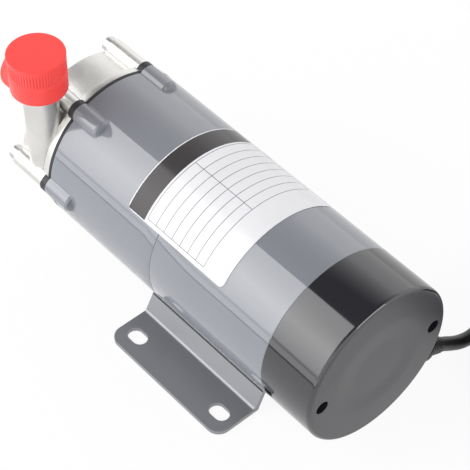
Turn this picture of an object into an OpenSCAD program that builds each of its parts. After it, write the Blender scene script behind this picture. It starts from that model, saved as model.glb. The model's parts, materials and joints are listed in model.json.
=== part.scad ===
// Magnetic drive pump: stainless pump head, sealed magnetic coupling and a capacitor motor.
// X runs along the shaft from the inlet to the motor's rear, Z is up.
// The origin is the centre of the four base slots, on the face that stands on the bench.

/* [Body] */
// Outside diameter of the round body
body_d = 76; // [74:0.5:80]
// Clear height under the round body
body_lift = 5; // [4.5:0.5:12]
// Length of the motor shell
motor_len = 70; // [68:0.5:90]
// Length of the front housing around the coupling
front_len = 67.5; // [66:0.5:80]
// Length of the rear cover
cover_len = 28; // [26:0.5:40]
// Distance from the slot centre back to the joint of shell and rear cover
cover_joint_x = 47; // [40:0.5:60]

/* [Pump head] */
// Depth of the drum and its bolt pillars
drum_depth = 20; // [19:0.5:26]
// Outside diameter of the pipe necks
neck_d = 15.4; // [14:0.2:17]
// Bore of the pipe necks
port_bore = 10.5; // [8:0.5:11]
// Outside diameter of the pipe thread
thread_d = 20.9; // [20:0.1:21]
// Length of the pipe thread
thread_len = 15; // [12:0.5:15]
// Height of the outlet cap's rim above the shaft axis
outlet_rise = 46.8; // [44:0.2:54]
// Distance from the drum's front face to the inlet cap's rim
inlet_reach = 29; // [24:0.5:36]

/* [Head bolts] */
// Number of bolts around the head
bolt_count = 6; // [4, 6]
// Bolt shank diameter
bolt_d = 4; // [3:0.5:4]
// Bolt head diameter
bolt_head_d = 7; // [6:0.5:7.5]
// Diameter of the steel pillars that carry the bolts
pillar_d = 8.6; // [8:0.2:9.4]
// Diameter of the bosses on the front housing
boss_d = 9.6; // [9:0.2:10.4]
// Length of the bosses on the front housing
boss_len = 14.5; // [13:0.5:20]

/* [Caps] */
// Outside diameter of the port caps
cap_d = 25.5; // [25:0.1:28]
// Height of the port caps
cap_h = 19; // [18.5:0.5:22]
// Number of grip ribs around a cap
cap_ribs = 60; // [40:2:72]

/* [Coupling and motor] */
// Wall of the containment shell's cup
cup_wall = 2; // [1.5:0.1:2.2]
// Depth of the containment shell behind its flange
cup_len = 40; // [38:0.5:42]
// Thickness of the containment shell's flange
rim_t = 3.5; // [3:0.1:5]
// Diameter of the fixed ceramic spindle
spindle_d = 6; // [5:0.2:6.4]
// Diameter of the motor shaft in its bearings
shaft_d = 8; // [7:0.5:8]
// Outside diameter of the ball bearings
bearing_d = 22; // [21:0.5:24]
// Width of the ball bearings
bearing_w = 7; // [6:0.5:7]
// Length of the stator and rotor stacks
stack_len = 40; // [34:0.5:42]
// Diameter of the rotor
rotor_d = 36; // [32:0.5:37]
// Number of stator slots
stator_slots = 12; // [8:2:16]
// Number of magnets in the drive cup
magnet_count = 8; // [4:2:10]

/* [Base] */
// Length of the base plate along the shaft
base_len = 72; // [68:0.5:90]
// Width of the base plate over its two flanges
base_w = 104; // [102:0.5:120]
// Sheet thickness of the base plate
sheet_t = 2; // [1.5:0.1:2.5]
// Slot spacing along the shaft
slot_pitch_x = 54; // [44:0.5:56]
// Slot spacing across the base
slot_pitch_y = 86; // [84:0.5:90]
// Slot width
slot_w = 7; // [5:0.5:8]
// Slot length from end to end
slot_len = 10; // [9:0.5:14]

/* [Mains cable] */
// Cable diameter
cable_d = 6.4; // [5.5:0.1:7]
// Mean diameter of the cable coil
coil_d = 70; // [64:1:76]
// Turns stacked in the coil's height
coil_layers = 3; // [2, 3]

/* [Hidden] */
$fn = 96;

// Small allowance that carries a cut past a face
over = 0.5;
// Clearance between parts that turn past each other
run_gap = 0.5;
// Clearance of a screw in a plain hole
screw_gap = 0.25;
// Clearance of a sliding sleeve
slide_gap = 0.35;
// Relief of a bolted ear behind the sealing face beside it
seat_relief = 0.1;

// Stations along the shaft
body_r = body_d/2;
axis_h = body_r + body_lift;
rear_x = cover_joint_x + cover_len;
split_x = cover_joint_x - motor_len;
rim_x = split_x - front_len;
head_x = rim_x - rim_t;
drum_x = head_x - drum_depth;

// Pump head, with its drum set in from the body's outside
drum_set_in = 3;
drum_d = body_d - 2*drum_set_in;
chamber_wall = 6;
chamber_d = drum_d - 2*chamber_wall;
bolt_set_in = 1.5;
bolt_circle_r = body_r - bolt_set_in;
outlet_set_in = 4.5;
outlet_offset = drum_d/2 - outlet_set_in;
drum_wall = 3.5;
chamber_front_x = drum_x + drum_wall;
suction_r = 10;
suction_hub_r = 13.5;
suction_hub_len = 7;
suction_cone_len = 4;
suction_x = drum_x - suction_hub_len;
suction_end_x = suction_x - suction_cone_len;
suction_floor = 2.5;
suction_depth = suction_hub_len + drum_wall - suction_floor;
outlet_x = (head_x + chamber_front_x)/2;
inlet_rim_x = drum_x - inlet_reach;
thread_start = 1.2;
outlet_bore_start = 5;
spider_r = 5;
spider_arm_w = 2.5;
spider_len = 6;
spider_recess = 0.3;
spider_face_x = chamber_front_x - spider_recess;
spider_x = spider_face_x - spider_len;
spider_arms = 3;
ring_groove_w = 2.6;
ring_groove_d = 1.9;
ring_groove_r = chamber_d/2 + 3.1;

// Port caps
cap_lid = 2;
cap_skirt_h = 5.5;
cap_band_h = 7;
cap_step = 0.15;
cap_edge = 0.8;
rib_depth = 0.5;

// Head bolts
bolt_head_h = 4;
bolt_reach = boss_len - 3;
socket_d = 3;
socket_h = 2;
boss_tip_h = 2.4;
boss_tip_d = boss_d - 3;

// Containment shell inside the drive cup, which runs in the front housing's bore
front_wall = 4.5;
front_bore_r = body_r - front_wall;
yoke_gap = 2.5;
yoke_wall = 3;
magnet_t = 4;
drive_gap = 1.5;
yoke_r = front_bore_r - yoke_gap;
yoke_in_r = yoke_r - yoke_wall;
drive_magnet_r = yoke_in_r - magnet_t;
cup_r = drive_magnet_r - drive_gap;
cup_bore = 2*(cup_r - cup_wall);
cup_end_wall = 3;
cup_end_x = rim_x + cup_len;
cup_floor_x = cup_end_x - cup_end_wall;
cup_boss_r = 7;
cup_boss_h = 6;
cup_boss_x = cup_floor_x - cup_boss_h;
spigot_h = 2;

// Spindle, thrust rings and impeller
socket_depth = 4.5;
spindle_front_x = spider_face_x - socket_depth;
spindle_rear_x = cup_boss_x + socket_depth;
thrust_r = 5;
thrust_t = 1.5;
spindle_fit = 0.05;
bush_wall = 2.4;
bush_r = spindle_d/2 + spindle_fit + bush_wall;
bush_front_x = spider_face_x + thrust_t + run_gap;
bush_rear_x = cup_boss_x - thrust_t - run_gap;
impeller_r = chamber_d/2 - 4;
shroud_t = 1.8;
vane_h = 5;
vane_t = 1.8;
vane_count = 6;
vane_arc_r = 16;
eye_r = 9;
impeller_front_x = chamber_front_x + 2.2;
impeller_disc_x = impeller_front_x + shroud_t + vane_h;
capsule_r = cup_bore/2 - 0.8;
capsule_wall = 1.5;
capsule_rear_x = bush_rear_x;
magnet_front_x = impeller_disc_x + shroud_t + capsule_wall;
magnet_rear_x = capsule_rear_x - capsule_wall;
magnet_in_r = bush_r + capsule_wall;
magnet_out_r = capsule_r - capsule_wall;

// Motor bulkhead and bearings
bulkhead_t = 4;
front_bearing_x = split_x - bearing_w;
bulkhead_x = front_bearing_x - bulkhead_t;
bearing_boss_r = bearing_d/2 + 3.5;
bearing_lip_r = bearing_d/2 - 2;
shell_wall = 2;
shell_r = body_r - shell_wall;
shell_spigot = 6;
shell_spigot_wall = 3;
ring_wall = 2;
outer_ring_in_r = bearing_d/2 - ring_wall;
inner_ring_r = shaft_d/2 + ring_wall;
ball_r = (outer_ring_in_r - inner_ring_r)/2 + 0.55;
ball_gap = 0.35;
ball_count = 7;
ball_circle_r = (outer_ring_in_r + inner_ring_r)/2;
end_plate_t = 4;
end_plate_x = cover_joint_x - end_plate_t;
washer_t = 1;
rear_bearing_x = end_plate_x - washer_t - bearing_w;
shaft_end_gap = 0.6;

// Drive cup
yoke_back = 4;
yoke_front_x = rim_x + 6;
yoke_back_x = cup_end_x + 2.5;
hub_r = 9;
hub_x = yoke_back_x + yoke_back;
hub_len = bulkhead_x - hub_x - 1.2;
magnet_share = 0.86;
set_screw_d = 3;
set_screw_len = hub_r - shaft_d/2 - 0.6;

// Stator and rotor
air_gap = 0.4;
turn_h = 8;
turn_clear = 3;
stack_x = split_x + turn_h + turn_clear;
stack_end_x = stack_x + stack_len;
core_shaft_d = shaft_d + 2;
slot_in_r = rotor_d/2 + air_gap + 3;
slot_out_r = slot_in_r + 9;
slot_bar_w = 4.6;
winding_gap = 0.15;
turn_in_r = slot_in_r - 1;
turn_out_r = slot_out_r - 0.5;
turn_round = 2.5;
end_ring_t = 3;
end_ring_r = rotor_d/2 - 1.5;
end_ring_in_r = end_ring_r - 7;

// Rear cover
cover_wall = 2.5;
cover_round = 2;
screw_set_in = 7;
screw_y = body_r - screw_set_in;
screw_well_d = 6.2;
screw_post_r = 4.8;
screw_floor = 6;
screw_d = 3;
screw_head_d = 5.4;
screw_head_h = 2.4;
screw_bite = 3.4;
notch_w = 4;
notch_len = 5;
notch_angle = 105;

// Electrical pieces behind the end plate
capacitor = [19, 34, 15];
capacitor_z = 9;
capacitor_round = 2.5;
block = [13, 30, 11];
block_z = -20;
block_ways = 3;
block_hole_d = 3.6;
block_hole_depth = 8;

// Cable gland, leaving the cover's side low on the far side
gland_angle = -34;
gland_x = rear_x - 7;
gland_collar_r = 6.2;
gland_collar_t = 3;
gland_neck_r = 4.2;
gland_neck_len = 12;
gland_tip_r = cable_d/2 + 0.5;
gland_inside = 2;
gland_seat_r = body_r + 0.6;
gland_end_r = gland_seat_r + gland_collar_t + gland_neck_len;

// Cable route from the gland along the bench to the coil, and from the coil to the plug
cable_r = cable_d/2;
gland_end = [gland_x, gland_end_r*cos(gland_angle), axis_h + gland_end_r*sin(gland_angle)];
coil_columns = 3;
coil_w = coil_columns*cable_d;
coil_h = coil_layers*cable_d;
coil_centre = [106, 95];
LEAD_PATH = [
  gland_end,
  gland_end + [0, 2.5, -1.7],
  [68, 49, 9.9],
  [68, 53, 7.2],
  [67.8, 58, 4.8],
  [67.6, 64, 3.4],
  [67.1, 71, 3.2],
  [66.3, 79, 3.2]
];
TAIL_PATH = [
  [103, 59.8, coil_h - 2.3],
  [91.2, 63.3, coil_h + 0.2],
  [80.9, 72, coil_h + 4.3],
  [76.3, 84.6, coil_h + 8.5],
  [78.7, 97.9, coil_h + 11.6],
  [87.3, 108.2, coil_h + 12.8],
  [91.2, 110.5, coil_h + 12.8]
];
cable_sides = 10;

// Mains plug lying on the coil
plug_heading = 25;
plug_r = 12.5;
plug_len = 34;
plug_neck_r = 5.5;
plug_neck_len = 10;
plug_shoulder_r = 10.5;
plug_start = TAIL_PATH[len(TAIL_PATH) - 1];
pin_d = 4.8;
pin_len = 19;
pin_pitch = 19;

// Base plate section
flange_w = 20.8;
bend_y = base_w/2 - flange_w;
saddle_r = body_r + sheet_t;
saddle_half_angle = 40;
web_lap_angle = 3;
web_lap = sheet_t/5;
corner_r = 6;
base_screw_edge = 3;
base_screw_pitch = -2*(split_x + base_screw_edge);
base_screw_d = 4;
base_screw_head_d = 8;
base_screw_head_h = 2;
base_screw_bite = shell_wall;

// Label wrapped over the shell joint
label_t = 0.2;
label_glue = 0.05;
label_lap = 20;
label_front_x = split_x - label_lap;
label_len = 59.5;
label_start = -57;
label_sweep = 104;

// Places a child with its Z along the shaft at station x
module on_shaft(x) {
  translate([x, 0, axis_h])
    rotate([0, 90, 0])
      children();
}

// Repeats a child around the shaft, counted from straight up
module around(count, radius, first = 0) {
  for (i = [0:count - 1])
    rotate([0, 0, 180 + first + 360*i/count])
      translate([radius, 0, 0])
        children();
}

// Ring along Z
module ring(outer_r, inner_r, h) {
  difference() {
    cylinder(r = outer_r, h = h);
    translate([0, 0, -over])
      cylinder(r = inner_r, h = h + 2*over);
  }
}

// Places a child on each head bolt's line at station x
module at_bolts(x) {
  on_shaft(x)
    around(bolt_count, bolt_circle_r, 180/bolt_count)
      children();
}

// Outside of a pipe neck with its thread, from its root up to the cap's rim and beyond
module neck(root_len) {
  cylinder(d = neck_d, h = root_len + thread_start + over);
  translate([0, 0, root_len + thread_start])
    cylinder(d = thread_d, h = thread_len);
}

module at_outlet(z) {
  translate([outlet_x, -outlet_offset, axis_h + z])
    children();
}

module at_inlet(x) {
  translate([x, 0, axis_h])
    rotate([0, -90, 0])
      children();
}

// Stainless casting: drum, bolt pillars, suction hub, inlet and outlet necks
module pump_head() {
  color("gainsboro") {
    difference() {
      union() {
        on_shaft(drum_x)
          cylinder(d = drum_d, h = drum_depth);
        at_bolts(drum_x)
          cylinder(d = pillar_d, h = drum_depth - seat_relief);
        on_shaft(suction_x)
          cylinder(r = suction_hub_r, h = suction_hub_len + over);
        on_shaft(suction_end_x)
          cylinder(r1 = neck_d/2 - over, r2 = suction_hub_r, h = suction_cone_len);
        at_inlet(suction_x)
          neck(inlet_reach - suction_hub_len);
        at_outlet(0)
          neck(outlet_rise);
      }
      on_shaft(chamber_front_x)
        cylinder(d = chamber_d, h = drum_depth);
      on_shaft(chamber_front_x - suction_depth)
        cylinder(r = suction_r, h = suction_depth + over);
      at_inlet(drum_x)
        cylinder(d = port_bore, h = inlet_reach + thread_start + thread_len + over);
      at_outlet(outlet_bore_start)
        cylinder(d = port_bore, h = outlet_rise + thread_start + thread_len);
      on_shaft(head_x - ring_groove_d)
        ring(ring_groove_r + ring_groove_w/2, ring_groove_r - ring_groove_w/2, ring_groove_d + over);
      at_bolts(drum_x - over)
        cylinder(d = bolt_d + 2*screw_gap, h = drum_depth + 2*over);
    }
    suction_spider();
  }
}

// Three-armed support in the suction eye that holds the spindle's front end
module suction_spider() {
  difference() {
    on_shaft(spider_x) {
      cylinder(r = spider_r, h = spider_len);
      for (i = [0:spider_arms - 1])
        rotate([0, 0, 360*i/spider_arms])
          translate([0, -spider_arm_w/2, 0])
            cube([suction_r + over, spider_arm_w, spider_len]);
    }
    on_shaft(spindle_front_x)
      cylinder(d = spindle_d, h = spider_len);
  }
}

// Socket-head bolts from the pillars into the housing's bosses
module head_bolts() {
  color("silver")
    at_bolts(drum_x)
      difference() {
        union() {
          translate([0, 0, -bolt_head_h])
            cylinder(d = bolt_head_d, h = bolt_head_h);
          cylinder(d = bolt_d, h = drum_depth + rim_t + bolt_reach);
        }
        translate([0, 0, -bolt_head_h - over])
          cylinder(d = socket_d, h = socket_h + over, $fn = 6);
      }
}

// Black containment shell: eared flange, cup and spindle boss
module rear_casing() {
  color("#2b2b2e")
    difference() {
      union() {
        on_shaft(head_x)
          cylinder(r = body_r, h = rim_t);
        at_bolts(head_x + seat_relief)
          cylinder(d = boss_d, h = rim_t - 2*seat_relief);
        on_shaft(rim_x)
          cylinder(r = front_bore_r - slide_gap, h = spigot_h);
        on_shaft(rim_x)
          cylinder(r = cup_r, h = cup_len);
      }
      difference() {
        on_shaft(head_x - over)
          cylinder(d = cup_bore, h = cup_floor_x - head_x + over);
        on_shaft(cup_boss_x)
          cylinder(r = cup_boss_r, h = cup_boss_h + over);
      }
      on_shaft(cup_boss_x - over)
        cylinder(d = spindle_d, h = socket_depth + over);
      at_bolts(head_x - over)
        cylinder(d = bolt_d + 2*screw_gap, h = rim_t + spigot_h + 2*over);
    }
}

module casing_o_ring() {
  color("#1c1c1c")
    on_shaft(head_x - ring_groove_d/2)
      rotate_extrude()
        translate([ring_groove_r, 0])
          circle(d = ring_groove_d, $fn = 32);
}

module impeller_spindle() {
  color("ivory")
    on_shaft(spindle_front_x)
      cylinder(d = spindle_d, h = spindle_rear_x - spindle_front_x);
}

module thrust_rings() {
  color("wheat") {
    on_shaft(spider_face_x)
      ring(thrust_r, spindle_d/2, thrust_t);
    on_shaft(cup_boss_x - thrust_t)
      ring(thrust_r, spindle_d/2, thrust_t);
  }
}

// Grey casting around the coupling, with the bolt bosses and the motor's front bearing
module front_housing() {
  color("#8c8f96")
    difference() {
      union() {
        on_shaft(rim_x)
          cylinder(r = body_r, h = front_len);
        on_shaft(split_x - over)
          cylinder(r = shell_r, h = shell_spigot + over);
        at_bolts(rim_x) {
          cylinder(d = boss_d, h = boss_len - boss_tip_h);
          translate([0, 0, boss_len - boss_tip_h])
            cylinder(d1 = boss_d, d2 = boss_tip_d, h = boss_tip_h);
        }
      }
      on_shaft(rim_x - over)
        cylinder(r = front_bore_r, h = bulkhead_x - rim_x + over);
      on_shaft(bulkhead_x + bulkhead_t)
        ring(shell_r - shell_spigot_wall, bearing_boss_r, front_len);
      on_shaft(split_x)
        cylinder(r = shell_r - shell_spigot_wall, h = shell_spigot + over);
      on_shaft(front_bearing_x)
        cylinder(d = bearing_d, h = bearing_w + over);
      on_shaft(bulkhead_x - over)
        cylinder(r = bearing_lip_r, h = bulkhead_t + 2*over);
      at_bolts(rim_x - over)
        cylinder(d = bolt_d, h = bolt_reach + over);
    }
}

module motor_shell() {
  color("#8c8f96")
    difference() {
      on_shaft(split_x)
        ring(body_r, shell_r, motor_len);
      at_base_screws(axis_h - body_r - over)
        cylinder(d = base_screw_d, h = shell_wall + 2*over);
    }
}

// Slots for the windings, grown by gap on every side
module winding_bars(gap, x, length) {
  on_shaft(x)
    for (i = [0:stator_slots - 1])
      rotate([0, 0, 360*i/stator_slots])
        translate([slot_in_r - gap, -slot_bar_w/2 - gap, 0])
          cube([slot_out_r - slot_in_r + 2*gap, slot_bar_w + 2*gap, length]);
}

module stator_core() {
  color("dimgray")
    difference() {
      on_shaft(stack_x)
        ring(shell_r, rotor_d/2 + air_gap, stack_len);
      winding_bars(winding_gap, stack_x - over, stack_len + 2*over);
    }
}

// Rounded ring of end turns
module end_turns() {
  rotate_extrude()
    translate([turn_in_r + turn_round, turn_round])
      rounded_rect([turn_out_r - turn_in_r - 2*turn_round, turn_h - 2*turn_round], turn_round);
}

// Rectangle with rounded corners, drawn from plain circles and squares
module rounded_rect(size, r) {
  translate([0, -r])
    square([size[0], size[1] + 2*r]);
  translate([-r, 0])
    square([size[0] + 2*r, size[1]]);
  for (x = [0, size[0]], y = [0, size[1]])
    translate([x, y])
      circle(r = r, $fn = 32);
}

module stator_windings() {
  color("chocolate") {
    winding_bars(0, stack_x - over, stack_len + 2*over);
    on_shaft(stack_x - turn_h - winding_gap)
      end_turns();
    on_shaft(stack_end_x + winding_gap)
      end_turns();
  }
}

module bearing_outer_rings() {
  color("lightsteelblue")
    for (x = [front_bearing_x, rear_bearing_x])
      on_shaft(x)
        difference() {
          ring(bearing_d/2, outer_ring_in_r, bearing_w);
          translate([0, 0, bearing_w/2])
            rotate_extrude()
              translate([ball_circle_r, 0])
                circle(r = ball_r + ball_gap, $fn = 32);
        }
}

module bearing_inner_rings() {
  color("lightsteelblue")
    for (x = [front_bearing_x, rear_bearing_x])
      on_shaft(x)
        difference() {
          ring(inner_ring_r, shaft_d/2, bearing_w);
          translate([0, 0, bearing_w/2])
            rotate_extrude()
              translate([ball_circle_r, 0])
                circle(r = ball_r, $fn = 32);
        }
}

module bearing_balls() {
  color("silver")
    for (x = [front_bearing_x, rear_bearing_x])
      on_shaft(x + bearing_w/2)
        around(ball_count, ball_circle_r)
          sphere(r = ball_r - spindle_fit, $fn = 48);
}

module rear_end_plate() {
  color("lightgray")
    difference() {
      union() {
        on_shaft(end_plate_x)
          cylinder(r = shell_r, h = end_plate_t);
        on_shaft(rear_bearing_x)
          cylinder(r = bearing_boss_r, h = end_plate_x - rear_bearing_x + over);
      }
      on_shaft(rear_bearing_x - over)
        cylinder(d = bearing_d, h = end_plate_x - rear_bearing_x + over);
      at_cover_screws(end_plate_x - over)
        cylinder(d = screw_d, h = end_plate_t + 2*over);
    }
}

module wave_washer() {
  color("goldenrod")
    on_shaft(end_plate_x - washer_t)
      ring(bearing_d/2 - run_gap, bearing_d/2 - ring_wall - run_gap, washer_t);
}

module run_capacitor() {
  color("whitesmoke")
    translate([cover_joint_x, -capacitor[1]/2 + capacitor_round, axis_h + capacitor_z + capacitor_round])
      rotate([90, 0, 90])
        linear_extrude(capacitor[0])
          rounded_rect(
            [capacitor[1] - 2*capacitor_round, capacitor[2] - 2*capacitor_round],
            capacitor_round
          );
}

module terminal_block() {
  way = block[1]/block_ways;
  color("beige")
    difference() {
      translate([cover_joint_x, -block[1]/2, axis_h + block_z])
        cube(block);
      for (i = [0:block_ways - 1])
        translate([cover_joint_x + block[0]/2, -block[1]/2 + way*(i + 0.5), axis_h + block_z + block[2]])
          translate([0, 0, -block_hole_depth])
            cylinder(d = block_hole_d, h = block_hole_depth + over, $fn = 48);
    }
}

// Places a child on each rear cover screw's line at station x
module at_cover_screws(x) {
  on_shaft(x)
    for (side = [-1, 1])
      translate([0, side*screw_y, 0])
        children();
}

module rear_cover() {
  color("#2d2d32")
    difference() {
      union() {
        difference() {
          on_shaft(cover_joint_x)
            rotate_extrude() {
              square([body_r - cover_round, cover_len]);
              square([body_r, cover_len - cover_round]);
              translate([body_r - cover_round, cover_len - cover_round])
                circle(r = cover_round, $fn = 64);
            }
          on_shaft(cover_joint_x - over)
            cylinder(r = body_r - cover_wall, h = cover_len - cover_wall + over);
        }
        at_cover_screws(cover_joint_x)
          cylinder(r = screw_post_r, h = cover_len - cover_wall + over);
      }
      on_shaft(cover_joint_x - over)
        ring(body_r + 2*screw_post_r, body_r, cover_len);
      at_cover_screws(cover_joint_x + screw_floor)
        cylinder(d = screw_well_d, h = cover_len);
      at_cover_screws(cover_joint_x - over)
        cylinder(d = screw_d + 2*screw_gap, h = cover_len);
      on_shaft(cover_joint_x - over)
        rotate([0, 0, 180 + notch_angle])
          translate([body_r - 2*cover_wall, -notch_w/2, 0])
            cube([3*cover_wall, notch_w, notch_len + over]);
      at_gland(body_r - 2*cover_wall)
        cylinder(r = gland_neck_r, h = 3*cover_wall);
    }
}

module rear_cover_screws() {
  color("dimgray")
    at_cover_screws(cover_joint_x + screw_floor)
      difference() {
        union() {
          cylinder(d = screw_head_d, h = screw_head_h);
          translate([0, 0, -screw_floor - screw_bite])
            cylinder(d = screw_d, h = screw_floor + screw_bite + over);
        }
        translate([0, 0, screw_head_h/2])
          for (turn = [0, 90])
            rotate([0, 0, turn])
              translate([-screw_head_d/4, -screw_d/8, 0])
                cube([screw_head_d/2, screw_d/4, screw_head_h]);
      }
}

// Places a child pointing out of the cover's side at the cable, at radius r
module at_gland(r) {
  translate([gland_x, 0, axis_h])
    rotate([gland_angle - 90, 0, 0])
      translate([0, 0, r])
        children();
}

module cable_gland() {
  color("#1e1e20") {
    at_gland(body_r - cover_wall - gland_inside)
      cylinder(r = gland_neck_r, h = gland_seat_r - body_r + cover_wall + gland_inside + over);
    at_gland(gland_seat_r)
      cylinder(r = gland_collar_r, h = gland_collar_t);
    at_gland(gland_seat_r + gland_collar_t)
      cylinder(r1 = gland_neck_r + 0.6, r2 = gland_tip_r, h = gland_neck_len);
  }
}

// Point on a smooth curve through p1 and p2, with p0 and p3 as its neighbours
function spline_point(p0, p1, p2, p3, t) =
  0.5*(2*p1 + (p2 - p0)*t + (2*p0 - 5*p1 + 4*p2 - p3)*t*t + (3*p1 - p0 - 3*p2 + p3)*t*t*t);

// Route refined to the given number of steps between its points
function smooth_route(pts, steps) = [
  for (i = [0:len(pts) - 2], s = [0:steps - 1])
    spline_point(
      pts[max(i - 1, 0)], pts[i], pts[i + 1], pts[min(i + 2, len(pts) - 1)], s/steps
    ),
  pts[len(pts) - 1]
];

function unit(v) = v/norm(v);

// Direction of travel at each point of a route
function headings(pts) = [
  for (i = [0:len(pts) - 1])
    unit(pts[min(i + 1, len(pts) - 1)] - pts[max(i - 1, 0)])
];

// Round tube swept along a route
module tube(pts, r, sides) {
  dirs = headings(pts);
  rings = [
    for (i = [0:len(pts) - 1])
      let (
        side = unit(cross(dirs[i], abs(dirs[i][2]) > 0.9 ? [1, 0, 0] : [0, 0, 1])),
        up = cross(side, dirs[i])
      )
      for (k = [0:sides - 1])
        pts[i] + r*(cos(360*k/sides)*side + sin(360*k/sides)*up)
  ];
  last = len(pts) - 1;
  faces = concat(
    [[for (k = [0:sides - 1]) k]],
    [[for (k = [sides - 1:-1:0]) last*sides + k]],
    [
      for (i = [0:last - 1], k = [0:sides - 1])
        let (n = (k + 1) % sides)
        each [
          [i*sides + k, (i + 1)*sides + k, i*sides + n],
          [i*sides + n, (i + 1)*sides + k, (i + 1)*sides + n]
        ]
    ]
  );
  polyhedron(rings, faces);
}

module cable() {
  color("#161618")
    tube(smooth_route(LEAD_PATH, 2), cable_r, cable_sides);
}

// Turns of the coil as one ring lying on the bench
module cable_coil() {
  color("#161618")
    translate([coil_centre[0], coil_centre[1], 0])
      ring(coil_d/2 + coil_w/2, coil_d/2 - coil_w/2, coil_h);
}

module cable_tail() {
  color("#161618")
    tube(smooth_route(TAIL_PATH, 2), cable_r, cable_sides);
}

// Places a child along the plug, at a distance from where the cable enters it
module at_plug(distance) {
  translate(plug_start)
    rotate([0, 90, plug_heading])
      translate([0, 0, distance])
        children();
}

module plug_body() {
  color("#19191b") {
    at_plug(0)
      cylinder(r1 = plug_neck_r, r2 = plug_shoulder_r, h = plug_neck_len);
    at_plug(plug_neck_len)
      cylinder(r = plug_r, h = plug_len);
  }
}

module plug_pins() {
  color("silver")
    at_plug(plug_neck_len + plug_len)
      for (side = [-1, 1])
        translate([side*pin_pitch/2, 0, 0])
          cylinder(d = pin_d, h = pin_len, $fn = 48);
}

// Point of the bracket's section at radius r and an angle from straight down
function saddle_point(r, angle) = [r*sin(angle), axis_h - r*cos(angle)];

// One side of the bracket's section: flange and leaning web, lapped into the saddle
module bracket_side() {
  web_top = saddle_point(body_r + web_lap, saddle_half_angle);
  web_root = saddle_point(saddle_r - web_lap, saddle_half_angle - web_lap_angle);
  polygon([
    [bend_y - sheet_t, 0],
    [base_w/2, 0],
    [base_w/2, sheet_t],
    [bend_y, sheet_t],
    web_top,
    web_root
  ]);
}

// Saddle under the body, over the angle between the webs
module bracket_saddle() {
  reach = 2*saddle_r;
  intersection() {
    translate([0, axis_h])
      difference() {
        circle(r = saddle_r);
        circle(r = body_r);
      }
    polygon([
      [0, axis_h],
      saddle_point(reach, -saddle_half_angle),
      saddle_point(reach, saddle_half_angle)
    ]);
  }
}

// Carries a section along the whole base
module bracket_sheet() {
  translate([-base_len/2, 0, 0])
    rotate([90, 0, 90])
      linear_extrude(base_len)
        children();
}

module at_slots(z) {
  for (x = [-1, 1], y = [-1, 1])
    translate([x*slot_pitch_x/2, y*slot_pitch_y/2, z])
      children();
}

module slot(h) {
  straight = slot_len - slot_w;
  for (end = [-1, 1])
    translate([end*straight/2, 0, 0])
      cylinder(d = slot_w, h = h);
  translate([-straight/2, -slot_w/2, 0])
    cube([straight, slot_w, h]);
}

// Quarter round left over at an outer flange corner
module corner_waste(h) {
  difference() {
    cube([corner_r + over, corner_r + over, h]);
    translate([0, 0, -over])
      cylinder(r = corner_r, h = h + 2*over);
  }
}

module at_base_screws(z) {
  for (end = [-1, 1])
    translate([end*base_screw_pitch/2, 0, z])
      children();
}

module base_plate() {
  color("#6b6c70")
    difference() {
      union() {
        bracket_sheet()
          bracket_saddle();
        for (flip = [0, 1])
          mirror([0, flip, 0])
            bracket_sheet()
              bracket_side();
      }
      at_slots(-over)
        slot(sheet_t + 2*over);
      for (x = [0, 1], y = [0, 1])
        mirror([x, 0, 0])
          mirror([0, y, 0])
            translate([base_len/2 - corner_r, base_w/2 - corner_r, -over])
              corner_waste(sheet_t + 2*over);
      at_base_screws(0)
        cylinder(d = base_screw_d + 2*screw_gap, h = axis_h - body_r + over);
    }
}

// Screws up through the saddle into the shell
module base_screws() {
  seat_z = axis_h - saddle_r;
  color("silver")
    at_base_screws(seat_z) {
      translate([0, 0, -base_screw_head_h])
        cylinder(d = base_screw_head_d, h = base_screw_head_h);
      cylinder(d = base_screw_d, h = sheet_t + base_screw_bite);
    }
}

module label() {
  color("white")
    on_shaft(label_front_x)
      rotate([0, 0, 180 - label_start - label_sweep])
        rotate_extrude(angle = label_sweep)
          translate([body_r + label_glue, 0])
            square([label_t, label_len]);
}

// Stepped shaft from the drive cup to the rear bearing
module motor_shaft() {
  front_x = yoke_back_x + run_gap;
  core_x = front_bearing_x + bearing_w;
  core_len = rear_bearing_x - core_x;
  color("silver") {
    on_shaft(front_x)
      cylinder(d = shaft_d, h = core_x - front_x);
    on_shaft(core_x)
      cylinder(d = core_shaft_d, h = core_len);
    on_shaft(rear_bearing_x)
      cylinder(d = shaft_d, h = end_plate_x - shaft_end_gap - rear_bearing_x);
  }
}

module rotor_core() {
  color("slategray")
    on_shaft(stack_x)
      ring(rotor_d/2, core_shaft_d/2, stack_len);
}

module rotor_end_rings() {
  color("lightgray")
    for (x = [stack_x - end_ring_t, stack_end_x])
      on_shaft(x)
        ring(end_ring_r, end_ring_in_r, end_ring_t);
}

// Steel cup on the motor shaft that carries the drive magnets
module drive_cup() {
  color("gray")
    difference() {
      union() {
        on_shaft(yoke_front_x)
          cylinder(r = yoke_r, h = hub_x - yoke_front_x);
        on_shaft(hub_x - over)
          cylinder(r = hub_r, h = hub_len + over);
      }
      on_shaft(yoke_front_x - over)
        cylinder(r = yoke_in_r, h = yoke_back_x - yoke_front_x + over);
      on_shaft(yoke_back_x - over)
        cylinder(d = shaft_d, h = yoke_back + hub_len + 2*over);
      at_set_screw(shaft_d/2 - over)
        cylinder(d = set_screw_d, h = hub_r);
    }
}

module at_set_screw(r) {
  translate([hub_x + hub_len/2, 0, axis_h + r])
    children();
}

module cup_set_screw() {
  color("dimgray")
    at_set_screw(shaft_d/2)
      cylinder(d = set_screw_d, h = set_screw_len, $fn = 48);
}

module drive_magnets() {
  sweep = magnet_share*360/magnet_count;
  color("darkslategray")
    on_shaft(yoke_front_x)
      for (i = [0:magnet_count - 1])
        rotate([0, 0, 360*i/magnet_count])
          rotate_extrude(angle = sweep)
            translate([drive_magnet_r, 0])
              square([magnet_t, yoke_back_x - yoke_front_x]);
}

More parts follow.
